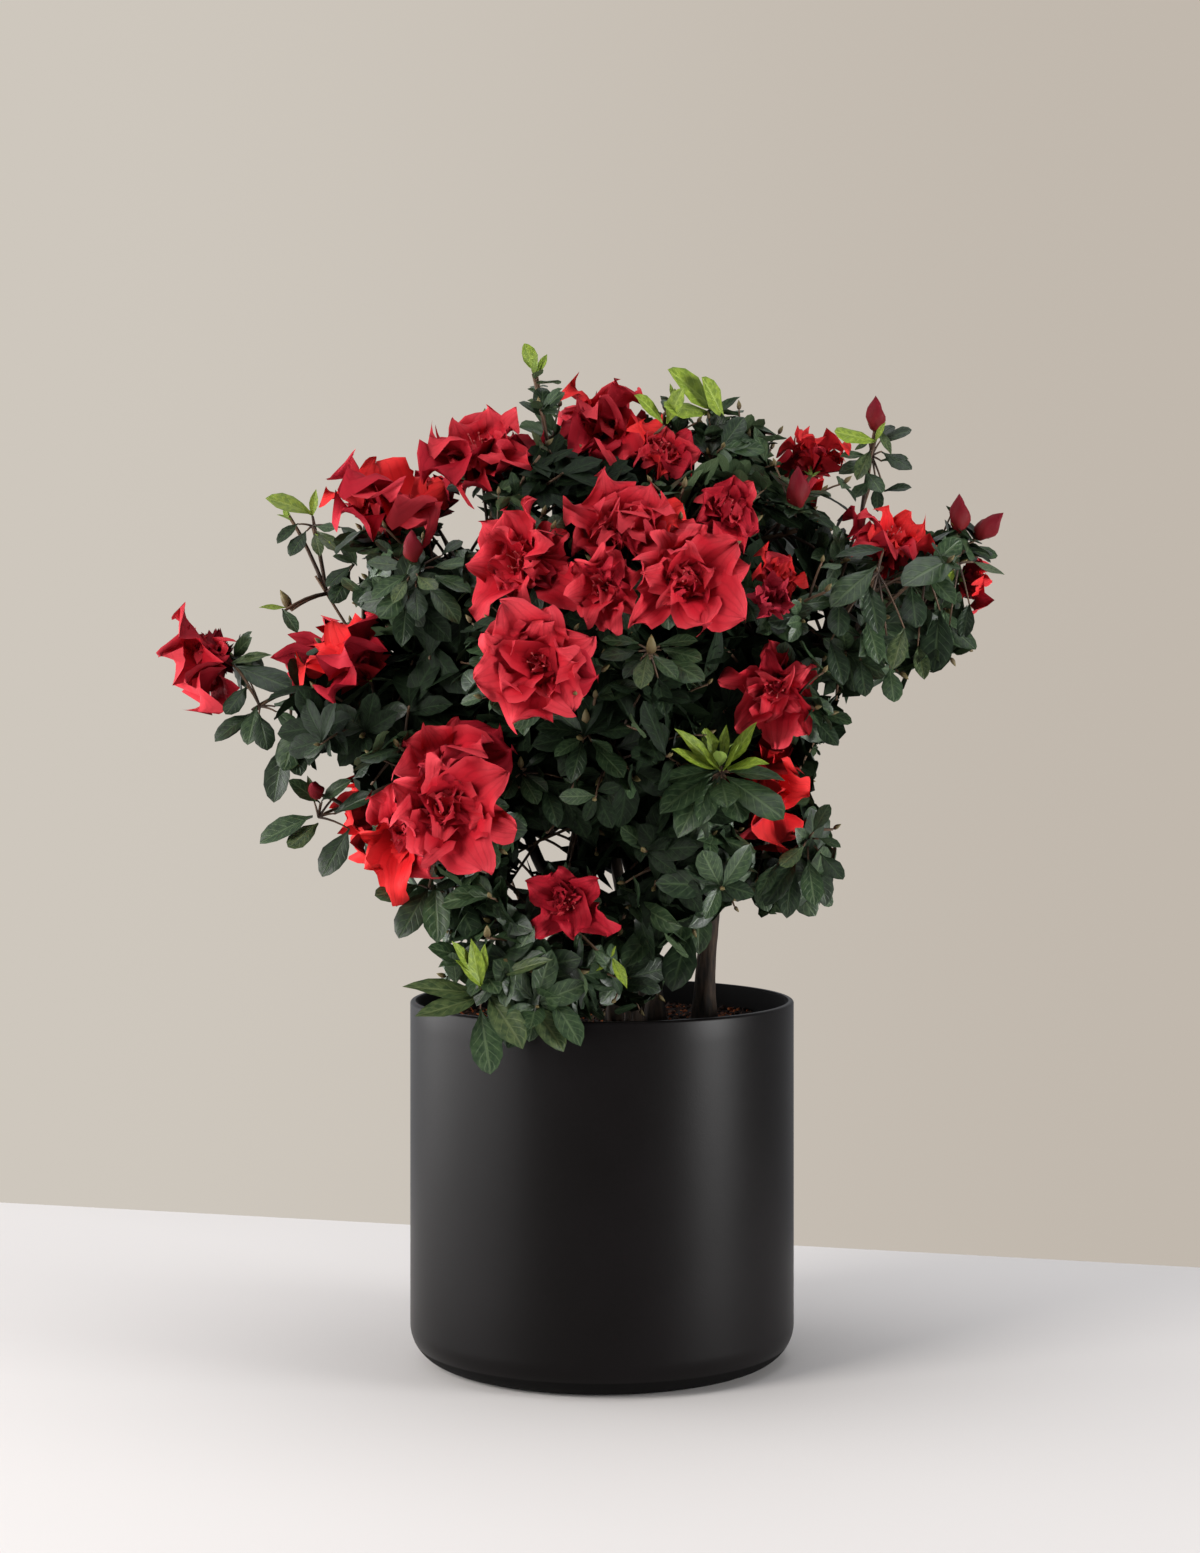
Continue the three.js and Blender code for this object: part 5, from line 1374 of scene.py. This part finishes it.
# how freely a grown petal departs from its whorl: the whole swing round, in opening and in lean,
# then the least and what may be added for its length and its width
petalPlay = {"round": 0.35, "open": 0.62, "lean": 0.12, "length": (0.8, 0.34), "width": (0.86, 0.26)}
# where no red is given, the deep and scarlet copies, painted shade and painted glow, are also drawn at
# random
redShare = {"deepUnder": 0.3, "scarletOver": 0.7, "other": 0.2}  # where no red is given


def growOuter(end, rows):
    # each petal is an arc from the foot to the tip that the photograph shows
    for k, (red, *tip, width) in enumerate(rows):
        way = vec(tip) - end["foot"]
        out = way - end["axis"] * way.dot(end["axis"])
        angle = math.atan2(lengthOf(out), way.dot(end["axis"]))
        bend = 0.6 + 0.25 * (k % 3)
        length = lengthOf(way) * bend / 2 / math.sin(bend / 2)
        form = broadPetals + raggedPetals + (k * 3 + len(rows)) % outerForms
        if end["key"] == roundBlossom["key"] and width > roundBlossom["broadFrom"]:
            form = (k * 5 + len(rows)) % broadPetals
        petals[redNames[red]].append((end["foot"], end["axis"], unit(out), angle - bend / 2,
                                      angle + bend / 2, length, width, 0.25 * (k % 3 - 1), form))


def growBlossom(end, random):
    foot, axis = end["foot"], end["axis"]
    side, across = squareTo(axis)
    radius = end["size"] / 2 * end["full"] * (0.9 if end["key"] in outerPetals else 1)
    turn = random() * 2 * math.pi
    tint = random()
    isSmall = end["size"] < smallBlossom["under"]
    opening = 0.88 + 0.24 * random() + (0.25 if axis[2] > 0.8 else 0)
    chosen = end["heap"] or ("petalsDeep" if tint < redShare["deepUnder"] else
                             "petalsScarlet" if tint > redShare["scarletOver"] else "petalsRed")
    growOuter(end, outerPetals.get(end["key"], []))
    # whorls that are drawn and not placed, because the outer petals or an open middle take their place
    left = [0] if end["key"] in outerPetals else []
    left += roundBlossom["missing"] if end["key"] == roundBlossom["key"] else ()
    for level, whorl in enumerate(whorls[:smallBlossom["whorls"]] if isSmall else whorls):
        for k in range(whorl["petals"]):
            angle = turn + whorl["turn"] + k * 2 * math.pi / whorl["petals"]
            angle += (random() - 0.5) * petalPlay["round"]
            lean, opened = whorl["angles"]
            opened *= smallBlossom["openTo"] if isSmall else 1
            opened = opened * opening + (random() - 0.5) * petalPlay["open"]
            lean += (random() - 0.5) * petalPlay["lean"]
            length = radius * whorl["length"] * drawn(random, *petalPlay["length"])
            width = whorl["width"] * drawn(random, *petalPlay["width"]) * end["wide"]
            twist = (random() - 0.5) * (0.6 + 0.5 * level)
            heap = chosen
            # some petals swap to another red copy, which scatters painted shade and glow
            if random() < redShare["other"]:
                heap = "petalsDeep" if chosen == "petalsRed" else "petalsRed"
            form = int(random() * (raggedPetals if whorl["ragged"] else broadPetals))
            form += broadPetals if whorl["ragged"] else 0
            if level not in left:
                petals[heap].append((foot + axis * (0.6 + 0.5 * level), axis, spoke(side, across, angle),
                                     lean, opened, length, width, twist, form))
    for k in range(5):
        radial = spoke(side, across, turn + k * 1.3)
        tip = foot + axis * radius * (0.72 + 0.2 * random()) + radial * radius * 0.16
        middle = foot + axis * radius * 0.4 + radial * radius * 0.02
        stamens.append((np.array([foot, middle, tip]), 0.35, 0.28))
        tipBuds.append((tip - axis, axis, 2.2, 1))
    for k in range(5):
        radial = spoke(side, across, turn + k * 2 * math.pi / 5)
        addCalyxLeaf(foot - axis * 1.2, axis * 0.8 + radial, axis, 7 + 2 * random(), k)


def addCalyxLeaf(base, way, axis, length, k):
    along = unit(way)
    calyxLeaves.append((base, along, squareFace(along, axis), length, narrowForms + k % 4))


def growBud(end, random):
    axis, size = end["axis"], end["size"]
    base = end["place"] - axis * size * 0.15
    flowerBuds.append((base, axis, size * 1.12, random() * 6))
    for k in range(4):
        addCalyxLeaf(base, axis + spoke(*squareTo(axis), k * 1.7) * 0.55, axis, size * 0.42, k)


for mass in masses:
    for end in mass["ends"]:
        kind, size = end["kind"], end["size"]
        if kind == "blossom":
            (growHalfOpen if size < halfOpenUnder else growBlossom)(end, mass["random"])
        elif kind == "bud" and size < smallBudUnder:
            addTipBud(end["place"], end["axis"], size)
        elif kind == "bud":
            growBud(end, mass["random"])
print("blossoms:", len(funnels), "petals:", sum(len(rows) for rows in petals.values()))


# pieces on the plant
def heapByForm(rows, shapes, place):
    # the last value of a row is its form
    chosen = [[row for row in rows if row[-1] == form] for form in range(len(shapes))]
    return [(shape, place(own, shape)) for shape, own in zip(shapes, chosen) if own]


massNames = [mass["name"] for mass in masses]
flowering = [mass["name"] for mass in masses if any(e["kind"] == "blossom" for e in mass["ends"])]
leaves["leavesFresh"] += calyxLeaves
for name, rows in leaves.items():
    addPiece(joinHeap(name, heapByForm(rows, leafShapes, placeLeaves)), massNames)
for name, rows in petals.items():
    addPiece(joinHeap(name, heapByForm(rows, petalShapes, placePetals)), flowering)

# sides and steps of the tubes, and the width of anthers and buds as a share of their length
fineParts = {
    "stamens": {"tube": (4, 3), "anther": 0.3},
    "flowerBuds": {"width": 0.25},
    "leafBuds": {"width": 0.22},
    # stems of the masses are thinner where hardly any seeded twig leaves them
    "twigs": {"tube": (5, 4), "stemTube": (8, 8), "bareUnder": 0.3, "bareShare": 0.5},
}
leafBuds, anthers = [[row for row in tipBuds if row[3] == kind] for kind in (0, 1)]
setup = fineParts["stamens"]
tube = tubeShape(*setup["tube"])
addPiece(joinHeap("stamens", [(tube, bendTubes(tube, stamens)),
                              (tipBudShape, placeSpindles(tipBudShape, anthers, setup["anther"]))]),
         flowering)
for name, slot, shape, rows in (("flowerBuds", "petals", budShape, flowerBuds),
                                ("leafBuds", "foliage", tipBudShape, leafBuds)):
    heap = [(shape, placeSpindles(shape, rows, fineParts[name]["width"]))]
    addPiece(joinHeap(name, heap), massNames)

setup = fineParts["twigs"]
massStems = []
for mass in masses:
    bare = openSprays.get(mass["name"], (1, 1))[0] < setup["bareUnder"]
    share = setup["bareShare"] if bare else 1
    massStems.append((mass["stem"], massStem["radius"] * share, massStem["tipRadius"] * share))
tube, stemTube = tubeShape(*setup["tube"]), tubeShape(*setup["stemTube"])
addPiece(joinHeap("twigs", [(tube, bendTubes(tube, twigs)),
                            (stemTube, bendTubes(stemTube, massStems))]), massNames)

# stems and boughs with the bark's relief
# share of the radius, waves round and waves along for each millimetre
barkWaves = [(0.13, 2.2, 0.018), (0.06, 6, 0.12)]
limbPieces = {
    "stems": {"table": stemTable, "tube": tubeShape(28, 56), "back": 0.0},
    "boughs": {"table": boughTable, "tube": tubeShape(18, 30), "back": 0.07},  # into the stem
}


def barkRelief(points, length, isStem, seed):
    # a share of the radius for each point of the tube
    lumps = []
    for x, y, t in points:
        angle = math.atan2(y, x)
        lump = 1
        for share, waves, rise in barkWaves:
            lump += share * noise.noise(Vector((math.cos(angle) * waves, math.sin(angle) * waves,
                                                t * length * rise + seed)))
        if isStem:
            low = math.exp(-t * length / flare["height"])
            lump += flare["share"] * low * (0.8 + 0.45 * math.cos(5 * angle + seed))
        lumps.append(lump)
    return np.array([lumps])


for pieceName, setup in limbPieces.items():
    heap, back = [], setup["back"]
    tube = dict(setup["tube"], points=setup["tube"]["points"] * (1, 1, 1 + back) - (0, 0, back))
    for name, *_ in setup["table"]:
        path, radii = limbs[name]["path"], limbs[name]["radii"]
        lumps = barkRelief(tube["points"], lengthOf(path[-1] - path[0]), pieceName == "stems",
                           len(name) * 3.7)
        heap.append((tube, bendTubes(tube, [(path, *radii)], lumps)))
    mesh = joinHeap(pieceName, heap, "bark")
    mesh.uv_layers.remove(mesh.uv_layers["OFBake"])
    addPiece(mesh, [row[0] for row in setup["table"]])


# pot and soil
def arc(centreR, centreZ, radius, first, last, steps):
    angles = [math.radians(first + (last - first) * k / steps) for k in range(steps + 1)]
    return [(centreR + radius * math.cos(a), centreZ + radius * math.sin(a)) for a in angles]


def spunMesh(name, profile, segments, material, relief=None):
    bm = bmesh.new()
    verts = [bm.verts.new((r * mm, 0, z * mm)) for r, z in profile]
    edges = [bm.edges.new(pair) for pair in zip(verts, verts[1:])]
    bmesh.ops.spin(bm, geom=verts + edges, cent=(0, 0, 0), axis=(0, 0, 1), angle=2 * math.pi,
                   steps=segments, use_merge=True)
    bmesh.ops.remove_doubles(bm, verts=bm.verts, dist=1e-6)
    bmesh.ops.recalc_face_normals(bm, faces=bm.faces)
    if relief:
        for v in bm.verts:
            v.co.z += relief(v.co)
    for face in bm.faces:
        face.smooth = True
    mesh = bpy.data.meshes.new(name)
    bm.to_mesh(mesh)
    bm.free()
    mesh.materials.append(material)
    return mesh


inner = pot["radius"] - pot["wall"]
foot, insideFoot, rimRound = pot["footCurve"], pot["footCurve"] - pot["wall"], pot["rimRound"]
top = pot["height"]
potProfile = [(0, 0), *arc(pot["radius"] - foot, foot, foot, -90, 0, 14)]
potProfile += [(pot["radius"], z) for z in (60, 110, 160, 200)]
potProfile += arc(pot["radius"] - rimRound, top - rimRound, rimRound, 0, 90, 5)
potProfile += arc(inner + rimRound, top - rimRound, rimRound, 90, 180, 5)
potProfile += arc(inner - insideFoot, pot["floor"] + insideFoot, insideFoot, 0, -90, 6)
potProfile += [(0, pot["floor"])]
addPiece(spunMesh("potShell", potProfile, 144, finishes["pot"]), ["pot"])

soilWaves = [(1.6, 0.035), (0.9, 0.13), (0.4, 0.5)]  # height in millimetres, and how close they are
soilBorder = 8  # the waves die out over this width towards the wall, and reach no deeper than this
soilEdge = inner - gap


def soilHeight(x, y):
    # millimetres above the soil's level, for a place in millimetres
    height = sum(high * noise.noise(Vector((x, y, 0)) * close) for high, close in soilWaves)
    return height * min(1, max(0, (inner - math.hypot(x, y)) / soilBorder))


def soilRelief(co):
    x, y, z = (value / mm for value in co)
    return soilHeight(x, y) * mm if z >= soil["level"] - soilBorder else 0


soilProfile = [(0, pot["floor"] + gap), (soilEdge - insideFoot, pot["floor"] + gap),
               (soilEdge, pot["floor"] + insideFoot * 1.1), (soilEdge, soil["level"] - soil["edgeDrop"]),
               (soil["flatRadius"] + 8, soil["level"] - 1)]
soilProfile += [(soil["flatRadius"] * (1 - k / 30), soil["level"]) for k in range(1, 31)]
addPiece(spunMesh("soilBed", soilProfile, 96, finishes["soil"], soilRelief), ["soil"])


def grainShape():
    bm = bmesh.new()
    bmesh.ops.create_icosphere(bm, subdivisions=1, radius=1)
    uvLayer = bm.loops.layers.uv.new("OFBake")
    for face in bm.faces:
        for loop in face.loops:
            loop[uvLayer].uv = (0.5 + 0.45 * loop.vert.co.x, 0.5 + 0.45 * loop.vert.co.y)
    return readShape(bm)


grains = {"darkGrains": {"count": 1700, "size": 1.3, "seed": 11},
          "copperGrains": {"count": 1100, "size": 0.9, "seed": 12}}
grain = grainShape()
for name, setup in grains.items():
    random, count = draws(setup["seed"]), setup["count"]
    placed = []
    for k in range(count):
        around = math.sqrt((k + random()) / count) * (soilEdge - 3)
        angle = k * goldenAngle + random()
        x, y = around * math.cos(angle), around * math.sin(angle)
        size = setup["size"] * (0.6 + 0.9 * random())
        squash = np.array([0.7 + 0.6 * random(), 0.7 + 0.6 * random(), 0.6 + 0.4 * random()])
        turn = random() * math.pi
        cosine, sine = math.cos(turn), math.sin(turn)
        spin = np.array([[cosine, sine, 0], [-sine, cosine, 0], [0, 0, 1]])
        z = soil["level"] + soilHeight(x, y) + size * 0.2
        placed.append(grain["points"] * squash * size @ spin + np.array([x, y, z]))
    addPiece(joinHeap(name, [(grain, placed)], smooth=False), ["soil"])
print("pot and soil made")

# floor, light and camera
# the floor ends along the line that the photograph shows behind the pot
floorCorners = [(-4, -5), (4, -5), (4, -0.745), (0.4115, 0.2557), (-0.4645, 0.5), (-4, 1.486)]
bm = bmesh.new()
bm.faces.new([bm.verts.new((x, y, 0)) for x, y in floorCorners])
floorMesh = bpy.data.meshes.new("floor")
bm.to_mesh(floorMesh)
bm.free()
floor = bpy.data.objects.new("floor", floorMesh)
scene.collection.objects.link(floor)
floorFinish, _, shader = newFinish("paleFloor", 0.7, 0.3)
shader.inputs["Base Color"].default_value = srgb(225, 221, 219)
floorMesh.materials.append(floorFinish)

lights = {
    "keyLight": {"place": (-1.8, -1.4, 1.5), "size": (1.0, 1.0), "power": 38, "colour": (1, 0.97, 0.93)},
    "stripLight": {"place": (2.0, -0.85, 0.34), "size": (0.8, 0.6), "power": 44, "colour": (1, 1, 1)},
    "sideLight": {"place": (-2.1, -0.1, 0.34), "size": (3.3, 0.66), "power": 62, "colour": (1, 1, 1)},
    "topLight": {"place": (0.2, -0.1, 2.6), "size": (1.6, 1.6), "power": 20, "colour": (0.97, 0.98, 1)},
}
aim = Vector((0, 0, 0.3))  # all the lights point here
for name, setup in lights.items():
    light = bpy.data.lights.new(name, "AREA")
    light.shape = "RECTANGLE"
    light.size, light.size_y = setup["size"]
    light.energy, light.color = setup["power"], setup["colour"]
    lamp = bpy.data.objects.new(name, light)
    lamp.location = setup["place"]
    lamp.rotation_euler = (aim - lamp.location).to_track_quat("-Z", "Y").to_euler()
    scene.collection.objects.link(lamp)

# the wall is what the camera sees behind the floor, painted lighter on the left and darker on the right as
# painted light;
# the soft light from all sides is stronger from the left and from behind
wallLitShadedColours = srgb(206, 199, 189), srgb(193, 184, 173)
world = scene.world = bpy.data.worlds.new("studio")
world.use_nodes = True
tree = world.node_tree
tree.nodes.clear()
direction = addNode(tree, "ShaderNodeTexCoord", {})
sideways, depth, _ = partsOf(tree, direction)
wall = mixColours(tree, fade(tree, sideways, -0.2, 0.2), *wallLitShadedColours)
seen = addNode(tree, "ShaderNodeBackground", {0: wall, 1: 1.0})
ambientStrength = times(tree, fade(tree, depth, -0.9, 0.6, 0.12, 0.6),
                        fade(tree, sideways, -0.7, 0.7, 1.35, 0.6))
ambient = addNode(tree, "ShaderNodeBackground", {0: (0.86, 0.87, 0.9, 1), 1: ambientStrength})
isSeen = addNode(tree, "ShaderNodeLightPath", {})
surface = addNode(tree, "ShaderNodeMixShader", {0: isSeen, 1: ambient, 2: seen})
addNode(tree, "ShaderNodeOutputWorld", {0: surface}, output=None)
scene.view_settings.view_transform = "Standard"

cameraSetup = {"place": (0, -1.760, 0.4143), "lens": 67.9, "sensor": 36, "shift": (-0.0013, -0.0715)}
cameraData = bpy.data.cameras.new("camera")
cameraData.lens, cameraData.sensor_width = cameraSetup["lens"], cameraSetup["sensor"]
cameraData.shift_x, cameraData.shift_y = cameraSetup["shift"]
camera = bpy.data.objects.new("camera", cameraData)
camera.location = cameraSetup["place"]
camera.rotation_euler = (math.radians(90), 0, 0)
scene.collection.objects.link(camera)
scene.camera = camera
